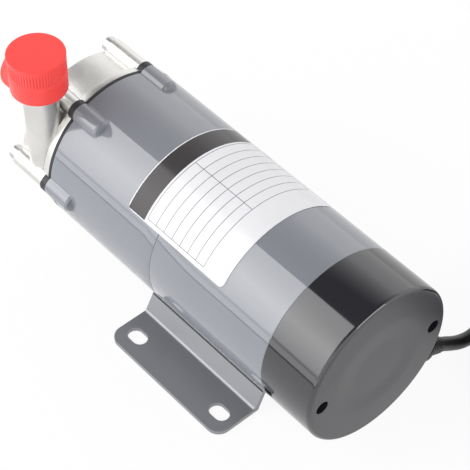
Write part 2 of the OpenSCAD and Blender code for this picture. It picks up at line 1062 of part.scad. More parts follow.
// Curved vane from the eye to the rim
module vane() {
  intersection() {
    translate([0, vane_arc_r, 0])
      ring(vane_arc_r + vane_t/2, vane_arc_r - vane_t/2, vane_h);
    cube([impeller_r, 2*vane_arc_r, vane_h]);
  }
}

// Closed impeller with the magnet capsule behind it
module impeller() {
  color("#3a3a40")
    difference() {
      union() {
        on_shaft(impeller_front_x)
          ring(impeller_r, eye_r, shroud_t);
        intersection() {
          on_shaft(impeller_front_x + shroud_t - over/2)
            ring(impeller_r, eye_r, vane_h + over);
          on_shaft(impeller_front_x + shroud_t - over/2)
            scale([1, 1, (vane_h + over)/vane_h])
              for (i = [0:vane_count - 1])
                rotate([0, 0, 360*i/vane_count])
                  vane();
        }
        on_shaft(impeller_disc_x)
          cylinder(r = impeller_r, h = shroud_t);
        on_shaft(impeller_disc_x)
          cylinder(r = capsule_r, h = capsule_rear_x - impeller_disc_x);
        on_shaft(bush_front_x)
          cylinder(r = bush_r + capsule_wall, h = capsule_rear_x - bush_front_x);
      }
      on_shaft(bush_front_x - over)
        cylinder(r = bush_r, h = capsule_rear_x - bush_front_x + 2*over);
      on_shaft(magnet_front_x)
        ring(magnet_out_r, magnet_in_r, magnet_rear_x - magnet_front_x);
    }
}

module impeller_magnet() {
  color("#303034")
    on_shaft(magnet_front_x)
      ring(magnet_out_r, magnet_in_r, magnet_rear_x - magnet_front_x);
}

module impeller_bush() {
  color("black")
    on_shaft(bush_front_x)
      ring(bush_r, spindle_d/2 + spindle_fit, bush_rear_x - bush_front_x);
}

// Ribbed round outline of a cap's grip band
module grip_outline(r, depth) {
  steps = 2*cap_ribs;
  polygon([
    for (i = [0:steps - 1])
      let (rib_r = r - depth*(i % 2))
      [rib_r*cos(360*i/steps), rib_r*sin(360*i/steps)]
  ]);
}

// Port cap along Z, open at its rim, with a grip band between smooth bands
module port_cap() {
  top_d = cap_d - 2*(cap_step + rib_depth + cap_step);
  band_z = cap_skirt_h - over;
  color("#fa5550")
    difference() {
      union() {
        cylinder(d = cap_d, h = cap_skirt_h);
        translate([0, 0, band_z])
          linear_extrude(cap_band_h + over)
            grip_outline(cap_d/2 - cap_step, rib_depth);
        translate([0, 0, band_z])
          cylinder(d = top_d, h = cap_h - cap_edge - band_z);
        translate([0, 0, cap_h - cap_edge])
          cylinder(d1 = top_d, d2 = top_d - 2*cap_edge, h = cap_edge);
      }
      translate([0, 0, -over])
        cylinder(d = thread_d + 2*slide_gap, h = cap_h - cap_lid + over);
    }
}

module outlet_cap() {
  at_outlet(outlet_rise)
    port_cap();
}

module inlet_cap() {
  at_inlet(inlet_rim_x)
    port_cap();
}

pump_head();
head_bolts();
rear_casing();
casing_o_ring();
impeller_spindle();
thrust_rings();
front_housing();
motor_shell();
stator_core();
stator_windings();
bearing_outer_rings();
rear_end_plate();
wave_washer();
run_capacitor();
terminal_block();
rear_cover();
rear_cover_screws();
cable_gland();
cable();
cable_coil();
cable_tail();
plug_body();
plug_pins();
base_plate();
base_screws();
label();
motor_shaft();
rotor_core();
rotor_end_rings();
drive_cup();
drive_magnets();
cup_set_screw();
bearing_inner_rings();
bearing_balls();
impeller();
impeller_magnet();
impeller_bush();
outlet_cap();
inlet_cap();
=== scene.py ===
"""Looks of the magnetic drive pump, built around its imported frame.

Sizes are millimetres in the row frame until a mesh is made: X runs along the shaft from the inlet to the
motor's rear, Z is up, and the four base slots are centred on the origin. Camera and lamps are in metres.
"""

from __future__ import annotations

import json
import logging
import math
from dataclasses import dataclass, field
from enum import Enum
from typing import Callable

import bmesh
import bpy
import numpy as np
from mathutils import Matrix

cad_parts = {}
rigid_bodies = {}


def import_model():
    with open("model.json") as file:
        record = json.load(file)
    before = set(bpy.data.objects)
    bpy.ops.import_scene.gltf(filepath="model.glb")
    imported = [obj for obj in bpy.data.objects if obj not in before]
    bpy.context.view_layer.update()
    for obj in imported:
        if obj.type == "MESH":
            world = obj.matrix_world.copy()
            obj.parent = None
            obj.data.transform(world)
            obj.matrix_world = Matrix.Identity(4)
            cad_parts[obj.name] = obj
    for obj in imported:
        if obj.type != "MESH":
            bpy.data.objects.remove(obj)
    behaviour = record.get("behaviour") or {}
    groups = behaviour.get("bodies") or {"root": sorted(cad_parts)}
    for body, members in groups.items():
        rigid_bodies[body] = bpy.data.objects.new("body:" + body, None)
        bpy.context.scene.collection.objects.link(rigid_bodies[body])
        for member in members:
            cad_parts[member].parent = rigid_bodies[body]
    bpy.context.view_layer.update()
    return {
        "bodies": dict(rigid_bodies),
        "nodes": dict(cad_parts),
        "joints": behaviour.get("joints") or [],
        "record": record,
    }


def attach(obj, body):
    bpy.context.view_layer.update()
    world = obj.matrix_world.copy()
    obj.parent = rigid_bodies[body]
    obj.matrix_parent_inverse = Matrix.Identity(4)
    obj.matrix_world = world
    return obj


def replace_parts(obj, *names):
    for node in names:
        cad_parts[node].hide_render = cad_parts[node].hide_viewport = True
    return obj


LOG = logging.getLogger("pump_scene")
MM = 0.001
GRID_WELD = 1e-7
COPY_WELD = 2e-6
AXIS_H = 43.0
BODY_R = 38.0
SPLIT_X = -23.0
JOINT_X = 47.0
RIM_X = -90.5
SPIGOT_R = 36.0
UP = np.array([0.0, 0.0, 1.0])
WHITE = (1.0, 1.0, 1.0, 1.0)
METAL = 1.0

Pair = tuple[float, float]
Vec3 = tuple[float, float, float]
Colour = tuple[float, float, float, float]
Profile = list[Pair]
Shape = Callable[[np.ndarray, np.ndarray, np.ndarray], np.ndarray]
Socket = bpy.types.NodeSocket


def srgb(red: int, green: int, blue: int) -> Colour:
    """Scene-linear colour of an 8-bit display colour."""
    c = np.array([red, green, blue]) / 255.0
    c = np.where(c <= 0.04045, c / 12.92, ((c + 0.055) / 1.055) ** 2.4)
    return (float(c[0]), float(c[1]), float(c[2]), 1.0)


def ease(value: np.ndarray, start: float, end: float) -> np.ndarray:
    """Half a cosine wave that climbs from 0 at start to 1 at end."""
    return 0.5 - 0.5 * np.cos(np.pi * np.clip((value - start) / (end - start), 0.0, 1.0))


def soft_max(a: np.ndarray, b: np.ndarray, fillet: float) -> np.ndarray:
    """The larger of a and b, with a fillet where they are nearly equal."""
    near = np.maximum(fillet - np.abs(a - b), 0.0) / fillet
    return np.maximum(a, b) + near * near * fillet / 4.0


def unit(vector: np.ndarray) -> np.ndarray:
    """A vector, or each row of vectors, brought to length one."""
    return vector / np.linalg.norm(vector, axis=-1, keepdims=True)


def around(count: int) -> np.ndarray:
    """Even angles once around a circle."""
    return np.arange(count) * 2.0 * np.pi / count


def on_circle(angle: np.ndarray | float) -> np.ndarray:
    """Points of the unit circle at some angles."""
    return np.stack([np.cos(angle), np.sin(angle)], -1)


def left_of(vector: np.ndarray) -> np.ndarray:
    """A vector in the plane, turned left by a right angle."""
    return np.array([-vector[1], vector[0]])


@dataclass(frozen=True)
class Axis:
    """A line that round pieces turn about, with the direction of angle zero."""

    origin: Vec3
    along: Vec3
    side: Vec3

    def place(self, along: np.ndarray, radius: np.ndarray, angle: np.ndarray) -> np.ndarray:
        """Points at a distance along the axis, a radius from it and an angle about it.

        Args:
            along: distances from the origin.
            radius: distances from the axis.
            angle: angles in radians, from side towards along x side.

        Returns:
            Points, with one more dimension than the inputs.
        """
        a, s = np.array(self.along), np.array(self.side)
        across = np.cross(a, s)
        flat = (radius * np.cos(angle))[..., None] * s + (radius * np.sin(angle))[..., None] * across
        return np.array(self.origin) + along[..., None] * a + flat

    def line(self, *along: float) -> np.ndarray:
        """Points on the axis itself, at some distances from its origin."""
        return np.array(self.origin) + np.array(along)[:, None] * np.array(self.along)


SHAFT = Axis((0.0, 0.0, AXIS_H), (1.0, 0.0, 0.0), (0.0, 0.0, 1.0))
OUTLET = Axis((-102.25, -30.5, 0.0), (0.0, 0.0, 1.0), (1.0, 0.0, 0.0))
INLET = Axis((0.0, 0.0, AXIS_H), (-1.0, 0.0, 0.0), (0.0, 0.0, 1.0))
GLAND_LEAN = math.radians(-34.0)
GLAND = Axis((68.0, 0.0, AXIS_H), (0.0, math.cos(GLAND_LEAN), math.sin(GLAND_LEAN)), (1.0, 0.0, 0.0))
PLUG_HEADING = math.radians(25.0)
PLUG = Axis((91.2, 110.5, 32.0), (math.cos(PLUG_HEADING), math.sin(PLUG_HEADING), 0.0), (0.0, 0.0, 1.0))


def grid_quads(rows: int, columns: int, close_rows: bool, close_columns: bool) -> np.ndarray:
    """Quads that join each point of a grid with the next row and column.

    Args:
        rows: number of rows of points.
        columns: number of points in a row.
        close_rows: whether the last row joins the first.
        close_columns: whether the last column joins the first.

    Returns:
        Point numbers, four to a quad.
    """
    i = np.arange(rows if close_rows else rows - 1)
    j = np.arange(columns if close_columns else columns - 1)
    a, b = np.meshgrid(i, j, indexing="ij")
    c, d = (a + 1) % rows, (b + 1) % columns
    corners = [a * columns + b, c * columns + b, c * columns + d, a * columns + d]
    return np.stack(corners, -1).reshape(-1, 4)


def link(name: str, data: bpy.types.ID) -> bpy.types.Object:
    """A new object for a mesh, camera or lamp, at the origin of the scene."""
    made = bpy.data.objects.new(name, data)
    bpy.context.scene.collection.objects.link(made)
    return made


def shade(mesh: bpy.types.Mesh, crease: float) -> None:
    """Smooth shading that breaks at edges sharper than crease degrees."""
    mesh.polygons.foreach_set("use_smooth", np.ones(len(mesh.polygons), bool))
    mesh.set_sharp_from_angle(angle=math.radians(crease))
    mesh.update()


def surface(
    name: str,
    points: np.ndarray,
    close_rows: bool = False,
    close_columns: bool = False,
    uv: np.ndarray | None = None,
    crease: float = 40.0,
    outward: bool = True,
) -> bpy.types.Object:
    """A mesh object from a grid of points in millimetres.

    Points that fall together, as at a pole, are welded, and a closed skin's faces are turned outwards.

    Args:
        name: name of the object.
        points: grid of points, rows x columns x 3.
        close_rows: whether the last row joins the first.
        close_columns: whether the last column joins the first.
        uv: surface coordinates for each point, or None.
        crease: angle in degrees past which an edge is drawn sharp.
        outward: whether the faces are turned outwards as on a closed skin.

    Returns:
        The new object.
    """
    rows, columns = points.shape[:2]
    quads = grid_quads(rows, columns, close_rows, close_columns)
    mesh = bpy.data.meshes.new(name)
    mesh.from_pydata((points.reshape(-1, 3) * MM).tolist(), [], quads.tolist())
    if uv is not None:
        layer = mesh.uv_layers.new(name="film")
        layer.data.foreach_set("uv", uv.reshape(-1, 2)[quads.reshape(-1)].astype(np.float32).ravel())
    work = bmesh.new()
    work.from_mesh(mesh)
    bmesh.ops.remove_doubles(work, verts=work.verts, dist=GRID_WELD)
    if outward:
        bmesh.ops.recalc_face_normals(work, faces=work.faces)
    work.to_mesh(mesh)
    work.free()
    shade(mesh, crease)
    return link(name, mesh)


def revolved(
    name: str,
    axis: Axis,
    profile: Profile | np.ndarray,
    columns: int = 96,
    closed: bool = False,
    shape: Shape | None = None,
    crease: float = 40.0,
) -> bpy.types.Object:
    """A profile of (distance along, radius) turned once about an axis.

    Args:
        name: name of the object.
        axis: the line it turns about.
        profile: points of the profile, from one end to the other.
        columns: steps around the axis.
        closed: whether the profile's last point joins its first.
        shape: gives the radius from distance, radius and angle, or None for a plain round.
        crease: angle in degrees past which an edge is drawn sharp.

    Returns:
        The new object.
    """
    line = np.asarray(profile, float)
    along, angle = np.meshgrid(line[:, 0], around(columns), indexing="ij")
    radius = np.repeat(line[:, 1:2], columns, axis=1)
    if shape is not None:
        radius = shape(along, radius, angle)
    return surface(name, axis.place(along, radius, angle), closed, True, crease=crease)


def rounded(corners: Profile, radii: list[float], steps: int = 5) -> np.ndarray:
    """A profile whose inner corners are replaced by arcs.

    Each arc is a quadratic curve from one tangent point over the corner to the other.

    Args:
        corners: points of the profile.
        radii: distance from each corner to its tangent points, 0 for a sharp corner.
        steps: points in each arc.

    Returns:
        The rounded profile, points x 2.
    """
    pts = np.asarray(corners, float)
    out: list[np.ndarray] = [pts[:1]]
    t = np.linspace(0.0, 1.0, steps)[:, None]
    for before, here, after, r in zip(pts[:-2], pts[1:-1], pts[2:], radii[1:-1]):
        if r <= 0.0:
            out.append(here[None])
            continue
        a = here + r * unit(before - here)
        b = here + r * unit(after - here)
        out.append((1 - t) ** 2 * a + 2 * t * (1 - t) * here + t**2 * b)
    out.append(pts[-1:])
    return np.concatenate(out)


def smooth_route(points: np.ndarray, steps: int) -> np.ndarray:
    """A smooth curve through points, each span a cubic set by its two neighbours.

    Args:
        points: points that the curve passes through.
        steps: points in each span.

    Returns:
        Points of the curve, the last one included.
    """
    p1, p2 = points[:-1], points[1:]
    p0, p3 = np.vstack([points[:1], points[:-2]]), np.vstack([points[2:], points[-1:]])
    t = (np.arange(steps) / steps)[None, :, None]
    p0, p1, p2, p3 = (p[:, None, :] for p in (p0, p1, p2, p3))
    square = (2 * p0 - 5 * p1 + 4 * p2 - p3) * t**2
    cube = (3 * p1 - p0 - 3 * p2 + p3) * t**3
    bent = 0.5 * (2 * p1 + (p2 - p0) * t + square + cube)
    return np.vstack([bent.reshape(-1, 3), points[-1:]])


def swept(name: str, path: np.ndarray, radius: float, sides: int) -> bpy.types.Object:
    """A round tube along a path, closed at both ends.

    At each point a circle lies across the direction of travel, with its first point level, which holds for
    any path that never runs straight up.

    Args:
        name: name of the object.
        path: points of the centreline.
        radius: radius of the tube.
        sides: points around the tube.

    Returns:
        The new object.
    """
    travel = unit(np.gradient(path, axis=0))
    level = unit(np.cross(travel, UP))
    rise = np.cross(level, travel)
    turn = around(sides)[None, :, None]
    skin = path[:, None] + radius * (np.cos(turn) * level[:, None] + np.sin(turn) * rise[:, None])
    ends = [np.repeat(path[i][None, None], sides, axis=1) for i in (0, -1)]
    return surface(name, np.concatenate([ends[0], skin, ends[1]]), False, True, crease=60.0)


@dataclass(frozen=True)
class Softening:
    """How the edges of a copied node are rounded: width in millimetres, angles in degrees."""

    width: float
    segments: int = 3
    angle: float = 28.0
    flat: float = 0.4


def softened_copy(
    frame: dict, node: str, name: str, soft: Softening, drop: Callable[[np.ndarray], np.ndarray] | None = None
) -> bpy.types.Object:
    """A merged copy of a frame node with rounded edges, as a casting or moulding has.

    Args:
        frame: the loaded frame.
        node: the node to copy.
        name: name of the copy.
        soft: how its edges are rounded.
        drop: marks the points whose faces are left off, or None.

    Returns:
        The new object.
    """
    mesh = frame["nodes"][node].data.copy()
    mesh.name = name
    mesh.materials.clear()
    if "custom_normal" in mesh.attributes:
        mesh.attributes.remove(mesh.attributes["custom_normal"])
    work = bmesh.new()
    work.from_mesh(mesh)
    bmesh.ops.remove_doubles(work, verts=work.verts, dist=COPY_WELD)
    if drop is not None:
        off = drop(np.array([v.co for v in work.verts]) / MM)
        gone = [f for f in work.faces if all(off[v.index] for v in f.verts)]
        bmesh.ops.delete(work, geom=gone, context="FACES")
    bmesh.ops.dissolve_limit(
        work, angle_limit=math.radians(soft.flat), verts=work.verts, edges=work.edges, delimit={"NORMAL"}
    )
    work.to_mesh(mesh)
    work.free()
    shade(mesh, soft.angle)
    made = link(name, mesh)
    bevel = made.modifiers.new("soft_edges", "BEVEL")
    bevel.width = soft.width * MM
    bevel.segments = soft.segments
    bevel.limit_method = "ANGLE"
    bevel.angle_limit = math.radians(soft.angle)
    bevel.harden_normals = True
    bevel.use_clamp_overlap = True
    return made


class Slot(Enum):
    """The record's material slots."""

    STAINLESS = "stainless_cast"
    FASTENER = "steel_fastener"
    BLACK_PLASTIC = "black_plastic"
    SEAL = "seal_rubber"
    CERAMIC = "ceramic_white"
    GREY_PAINT = "grey_paint"
    LAMINATION = "electrical_steel"
    COPPER = "copper_wire"
    BEARING = "bearing_steel"
    ALUMINIUM = "cast_aluminium"
    PALE_PLASTIC = "pale_plastic"
    COVER = "cover_black"
    CABLE = "cable_black"
    BRASS = "plug_brass"
    BASE_PAINT = "base_paint"
    LABEL = "label_film"
    MAGNET = "magnet_grey"
    CAP = "cap_red"


class Sockets(Enum):
    """Kinds of group socket."""

    VECTOR = "NodeSocketVector"
    VALUE = "NodeSocketFloat"
    COLOUR = "NodeSocketColor"


@dataclass(frozen=True)
class Wiring:
    """A node tree, with short ways to add nodes and to feed them."""

    tree: bpy.types.NodeTree

    @classmethod
    def within(cls, owner: bpy.types.Material | bpy.types.World) -> Wiring:
        """Starts afresh with the nodes of a material or of the world."""
        owner.use_nodes = True
        owner.node_tree.nodes.clear()
        return cls(owner.node_tree)

    def feed(self, node: bpy.types.Node, inputs: dict) -> bpy.types.Node:
        """Sets inputs of a node to values, or joins them to the outputs of other nodes.

        Args:
            node: the node.
            inputs: a value or an output for each input, by its name or number.

        Returns:
            The same node.
        """
        for key, value in inputs.items():
            if isinstance(value, bpy.types.NodeSocket):
                self.tree.links.new(value, node.inputs[key])
            else:
                node.inputs[key].default_value = value
        return node

    def add(self, kind: str, inputs: dict | None = None, **settings: object) -> bpy.types.Node:
        """Adds a shader node.

        Args:
            kind: its type, without the prefix that all of them share.
            inputs: what its inputs are fed with.
            settings: its own settings, made before its inputs are fed.

        Returns:
            The node.
        """
        node = self.tree.nodes.new(f"ShaderNode{kind}")
        for name, value in settings.items():
            setattr(node, name, value)
        return self.feed(node, inputs or {})

    def math(self, operation: str, *values: Socket | float) -> Socket:
        """Result of a sum of two or three values."""
        return self.add("Math", dict(enumerate(values)), operation=operation).outputs[0]

    def ramp(
        self, value: Socket, ends: Pair = (0.0, 1.0), result: Pair = (0.0, 1.0), curve: str = "LINEAR"
    ) -> Socket:
        """A value brought from between two ends to between two results, and held past them."""
        span = {"From Min": ends[0], "From Max": ends[1], "To Min": result[0], "To Max": result[1]}
        return self.add("MapRange", {"Value": value, **span}, interpolation_type=curve).outputs["Result"]


def new_group(name: str, takes: dict[str, Sockets], gives: dict[str, Sockets]) -> tuple:
    """An empty shader group with named sockets.

    Args:
        name: name of the group.
        takes: its inputs.
        gives: its outputs.

    Returns:
        The group's wiring, the sockets that it takes, and its output node.
    """
    tree = bpy.data.node_groups.new(name, "ShaderNodeTree")
    for label, kind in takes.items():
        tree.interface.new_socket(name=label, in_out="INPUT", socket_type=kind.value)
    for label, kind in gives.items():
        tree.interface.new_socket(name=label, in_out="OUTPUT", socket_type=kind.value)
    return Wiring(tree), tree.nodes.new("NodeGroupInput").outputs, tree.nodes.new("NodeGroupOutput")


class SurfaceEffects:
    """Shader groups that several finishes share, built once."""

    drift_span: Pair = (0.2, 0.8)
    coarse_scale: float = 0.2

    def __init__(self) -> None:
        """Builds the groups."""
        self.drift = self._drift()
        self.grain = self._grain()
        self.rule = self._rule()

    def _drift(self) -> bpy.types.NodeTree:
        """Slow change of shade: a soft noise scales the colour and gives a value from 0 to 1."""
        wires, takes, end = new_group(
            "shade_drift",
            {
                "Place": Sockets.VECTOR,
                "Colour": Sockets.COLOUR,
                "Size": Sockets.VALUE,
                "Amount": Sockets.VALUE,
            },
            {"Colour": Sockets.COLOUR, "Value": Sockets.VALUE},
        )
        noise = wires.add("TexNoise", {"Vector": takes["Place"], "Scale": takes["Size"], "Detail": 4.0})
        value = wires.ramp(noise.outputs["Fac"], self.drift_span, curve="SMOOTHERSTEP")
        twice = wires.math("MULTIPLY", takes["Amount"], 2.0)
        least = wires.math("SUBTRACT", 1.0, takes["Amount"])
        swing = wires.math("MULTIPLY_ADD", value, twice, least)
        scaled = wires.add("VectorMath", {0: takes["Colour"], "Scale": swing}, operation="SCALE")
        wires.feed(end, {"Colour": scaled.outputs[0], "Value": value})
        return wires.tree

    def _grain(self) -> bpy.types.NodeTree:
        """Fine relief of a surface: a close noise with a coarser one under it."""
        wires, takes, end = new_group(
            "fine_grain",
            {"Place": Sockets.VECTOR, "Size": Sockets.VALUE, "Coarse": Sockets.VALUE},
            {"Height": Sockets.VALUE},
        )
        wider = wires.math("MULTIPLY", takes["Size"], self.coarse_scale)
        fine = wires.add("TexNoise", {"Vector": takes["Place"], "Scale": takes["Size"], "Detail": 3.0})
        wide = wires.add("TexNoise", {"Vector": takes["Place"], "Scale": wider, "Detail": 2.0})
        height = wires.math("MULTIPLY_ADD", wide.outputs["Fac"], takes["Coarse"], fine.outputs["Fac"])
        wires.feed(end, {"Height": height})
        return wires.tree

    @staticmethod
    def _rule() -> bpy.types.NodeTree:
        """A printed rule: 1 within half a width of a line and between two ends along it, 0 elsewhere."""
        wires, takes, end = new_group(
            "printed_rule",
            {name: Sockets.VALUE for name in ("Across", "Along", "Line", "Half", "From", "To")},
            {"Mask": Sockets.VALUE},
        )
        near = wires.math("COMPARE", takes["Across"], takes["Line"], takes["Half"])
        after = wires.math("GREATER_THAN", takes["Along"], takes["From"])
        before = wires.math("LESS_THAN", takes["Along"], takes["To"])
        inside = wires.math("MULTIPLY", after, before)
        wires.feed(end, {"Mask": wires.math("MULTIPLY", inside, near)})
        return wires.tree


@dataclass(frozen=True)
class Drift:
    """Slow change of shade: how far it goes, and the scale of its noise."""

    amount: float
    scale: float


@dataclass(frozen=True)
class Grain:
    """Fine relief: scale of its noise, depth in millimetres, and share of the coarser noise."""

    scale: float
    depth: float
    coarse: float = 0.6


@dataclass(frozen=True)
class SatinFace:
    """A satin end face with a shallow dish, past a station on the shaft of an otherwise glossy piece."""

    roughness: float
    station: float
    blend: float = 0.25
    dish: Pair = (12.0, 25.0)
    dish_depth: float = 0.8

    def lay(self, wires: Wiring, place: Socket, sheen: Socket) -> tuple[Socket, Socket]:
        """Blends the satin in before the station, and sinks the face by a smooth step towards the shaft.

        Args:
            wires: the material's nodes.
            place: the place on the piece.
            sheen: the roughness elsewhere.

        Returns:
            The roughness, and the normal of the dish.
        """
        station = wires.add("SeparateXYZ", {"Vector": place}).outputs["X"]
        past = wires.ramp(station, ((self.station - self.blend) * MM, self.station * MM))
        rough = wires.add("Mix", {"Factor": past, "A": sheen, "B": self.roughness})
        from_shaft = {0: place, 1: (0.0, 1.0, 1.0), 2: (0.0, 0.0, -AXIS_H * MM)}
        level = wires.add("VectorMath", from_shaft, operation="MULTIPLY_ADD")
        reach = wires.add("VectorMath", {0: level.outputs["Vector"]}, operation="LENGTH")
        rim = (self.dish[0] * MM, self.dish[1] * MM)
        height = wires.ramp(reach.outputs["Value"], rim, curve="SMOOTHSTEP")
        dish = wires.add("Bump", {"Strength": 1.0, "Distance": self.dish_depth * MM, "Height": height})
        return rough.outputs["Result"], dish.outputs["Normal"]


@dataclass(frozen=True)
class Finish:
    """A surface finish: colour with a slow drift, a gloss that varies with it, and a fine relief."""

    slot: Slot
    colour: Colour
    gloss: Pair
    drift: Drift
    grain: Grain
    metallic: float = 0.0
    stretch: Vec3 = (1.0, 1.0, 1.0)
    specular: float = 0.5
    satin: SatinFace | None = None
    relief_strength: float = 0.5

    def material(self, effects: SurfaceEffects) -> bpy.types.Material:
        """Builds the material.

        Args:
            effects: the shared shader groups.

        Returns:
            The material, named after its slot.
        """
        made = bpy.data.materials.new(self.slot.value)
        wires = Wiring.within(made)
        place = wires.add("TexCoord").outputs["Object"]
        turned = wires.add("Mapping", {"Vector": place, "Scale": self.stretch}).outputs["Vector"]
        shades = {"Size": self.drift.scale, "Amount": self.drift.amount, "Colour": self.colour}
        drift = wires.add("Group", {"Place": turned, **shades}, node_tree=effects.drift)
        noise = {"Size": self.grain.scale, "Coarse": self.grain.coarse}
        grain = wires.add("Group", {"Place": turned, **noise}, node_tree=effects.grain)
        rough = wires.ramp(drift.outputs["Value"], result=self.gloss)
        depth = {"Strength": self.relief_strength, "Distance": self.grain.depth * MM}
        bump = wires.add("Bump", {"Height": grain.outputs["Height"], **depth})
        if self.satin is not None:
            rough, dish = self.satin.lay(wires, place, rough)
            wires.feed(bump, {"Normal": dish})
        skin = wires.add(
            "BsdfPrincipled",
            {
                "Base Color": drift.outputs["Colour"],
                "Metallic": self.metallic,
                "Roughness": rough,
                "Specular IOR Level": self.specular,
                "Normal": bump.outputs["Normal"],
            },
        )
        wires.add("OutputMaterial", {"Surface": skin.outputs["BSDF"]})
        return made


FINISHES = (
    Finish(Slot.STAINLESS, srgb(222, 220, 217), (0.3, 0.42), Drift(0.06, 90), Grain(1100, 0.12, 1.0), METAL),
    Finish(Slot.FASTENER, srgb(206, 206, 207), (0.22, 0.36), Drift(0.06, 160), Grain(2600, 0.01), METAL),
    Finish(Slot.BLACK_PLASTIC, srgb(40, 40, 43), (0.42, 0.56), Drift(0.08, 80), Grain(1800, 0.02)),
    Finish(Slot.SEAL, srgb(26, 26, 27), (0.55, 0.7), Drift(0.1, 120), Grain(1500, 0.02)),
    Finish(Slot.CERAMIC, srgb(238, 234, 224), (0.12, 0.2), Drift(0.03, 90), Grain(1200, 0.005)),
    Finish(
        Slot.GREY_PAINT, srgb(127, 130, 137), (0.035, 0.05), Drift(0.012, 25), Grain(420, 0.003), specular=1.0
    ),
    Finish(
        Slot.LAMINATION,
        srgb(112, 112, 116),
        (0.4, 0.6),
        Drift(0.14, 30),
        Grain(500, 0.06, 0.4),
        METAL,
        stretch=(24.0, 1.0, 1.0),
    ),
    Finish(
        Slot.COPPER,
        srgb(178, 98, 58),
        (0.24, 0.4),
        Drift(0.16, 60),
        Grain(700, 0.2, 0.5),
        METAL,
        stretch=(1.0, 4.0, 4.0),
    ),
    Finish(Slot.BEARING, srgb(196, 198, 202), (0.1, 0.2), Drift(0.04, 120), Grain(3000, 0.004), METAL),
    Finish(Slot.ALUMINIUM, srgb(190, 190, 192), (0.36, 0.52), Drift(0.08, 80), Grain(1400, 0.04), METAL),
    Finish(Slot.PALE_PLASTIC, srgb(224, 220, 208), (0.36, 0.5), Drift(0.04, 70), Grain(1500, 0.015)),
    Finish(
        Slot.COVER,
        srgb(38, 38, 43),
        (0.06, 0.09),
        Drift(0.03, 25),
        Grain(900, 0.003),
        specular=1.0,
        satin=SatinFace(0.42, 74.9),
    ),
    Finish(Slot.CABLE, srgb(24, 24, 26), (0.36, 0.48), Drift(0.1, 60), Grain(1300, 0.015)),
    Finish(Slot.BRASS, srgb(206, 192, 150), (0.2, 0.34), Drift(0.08, 120), Grain(2000, 0.01), METAL),
    Finish(
        Slot.BASE_PAINT,
        srgb(140, 141, 145),
        (0.34, 0.36),
        Drift(0.006, 25),
        Grain(1300, 0.008),
        metallic=0.55,
        specular=1.0,
    ),
    Finish(Slot.MAGNET, srgb(86, 86, 90), (0.4, 0.6), Drift(0.1, 70), Grain(1200, 0.03), metallic=0.7),
    Finish(Slot.CAP, srgb(240, 66, 62), (0.34, 0.46), Drift(0.03, 60), Grain(1400, 0.012)),
)

NODE_SLOTS: dict[Slot, tuple[str, ...]] = {
    Slot.FASTENER: ("rear_cover_screws", "base_screws", "cup_set_screw"),
    Slot.SEAL: ("casing_o_ring",),
    Slot.CERAMIC: ("impeller_spindle", "thrust_rings"),
    Slot.LAMINATION: ("stator_core", "rotor_core"),
    Slot.COPPER: ("stator_windings",),
    Slot.BEARING: (
        "bearing_outer_rings",
        "bearing_inner_rings",
        "bearing_balls",
        "wave_washer",
        "motor_shaft",
    ),
    Slot.ALUMINIUM: ("rear_end_plate", "rotor_end_rings", "drive_cup"),
    Slot.PALE_PLASTIC: ("run_capacitor", "terminal_block"),
    Slot.BLACK_PLASTIC: ("impeller", "impeller_bush"),
    Slot.BRASS: ("plug_pins",),
    Slot.MAGNET: ("drive_magnets", "impeller_magnet"),
}


@dataclass
class PaintShop:
    """Holds the materials and puts them on pieces and frame nodes."""

    effects: SurfaceEffects = field(default_factory=SurfaceEffects)
    materials: dict[Slot, bpy.types.Material] = field(default_factory=dict)

    def mix(self) -> None:
        """Builds the material of every plain finish."""
        for finish in FINISHES:
            self.materials[finish.slot] = finish.material(self.effects)

    def paint(self, skin: bpy.types.Mesh, slot: Slot) -> None:
        """Puts a slot's material on a mesh, in place of any other."""
        skin.materials.clear()
        skin.materials.append(self.materials[slot])

    def dress(self, piece: bpy.types.Object, slot: Slot, body: str = "pump") -> bpy.types.Object:
        """Gives a new piece its slot's material and its body.

        Args:
            piece: the piece.
            slot: the slot whose finish it takes.
            body: the frame body that it rides on.

        Returns:
            The same piece.
        """
        self.paint(piece.data, slot)
        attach(piece, body)
        LOG.info("piece %s: %s on %s", piece.name, slot.value, body)
        return piece

    def dress_nodes(self, frame: dict) -> None:
        """Puts the finishes on the frame nodes that keep their own shape."""
        for slot, nodes in NODE_SLOTS.items():
            for node in nodes:
                self.paint(frame["nodes"][node].data, slot)
                LOG.info("node %s: %s", node, slot.value)


def stand(name: str, data: bpy.types.ID, axes: tuple, place: Vec3) -> bpy.types.Object:
    """A new object for a camera or lamp.

    Args:
        name: name of the object.
        data: the camera or lamp.
        axes: directions of its right side, its top and its back.
        place: where it stands, in metres.

    Returns:
        The new object.
    """
    made = link(name, data)
    turn = np.eye(4)
    turn[:3] = np.column_stack([*axes, place])
    made.matrix_world = Matrix(turn.tolist())
    return made


def sheet(name: str, span: Pair, reach: Pair, height: float) -> bpy.types.Object:
    """A level sheet that faces up.

    Args:
        name: name of the sheet.
        span: where it begins and ends along X.
        reach: where it begins and ends along Y.
        height: its height.

    Returns:
        The new object.
    """
    x, y = np.meshgrid(np.array(span), np.array(reach), indexing="ij")
    return surface(name, np.stack([x, y, np.full_like(x, height)], -1), outward=False)


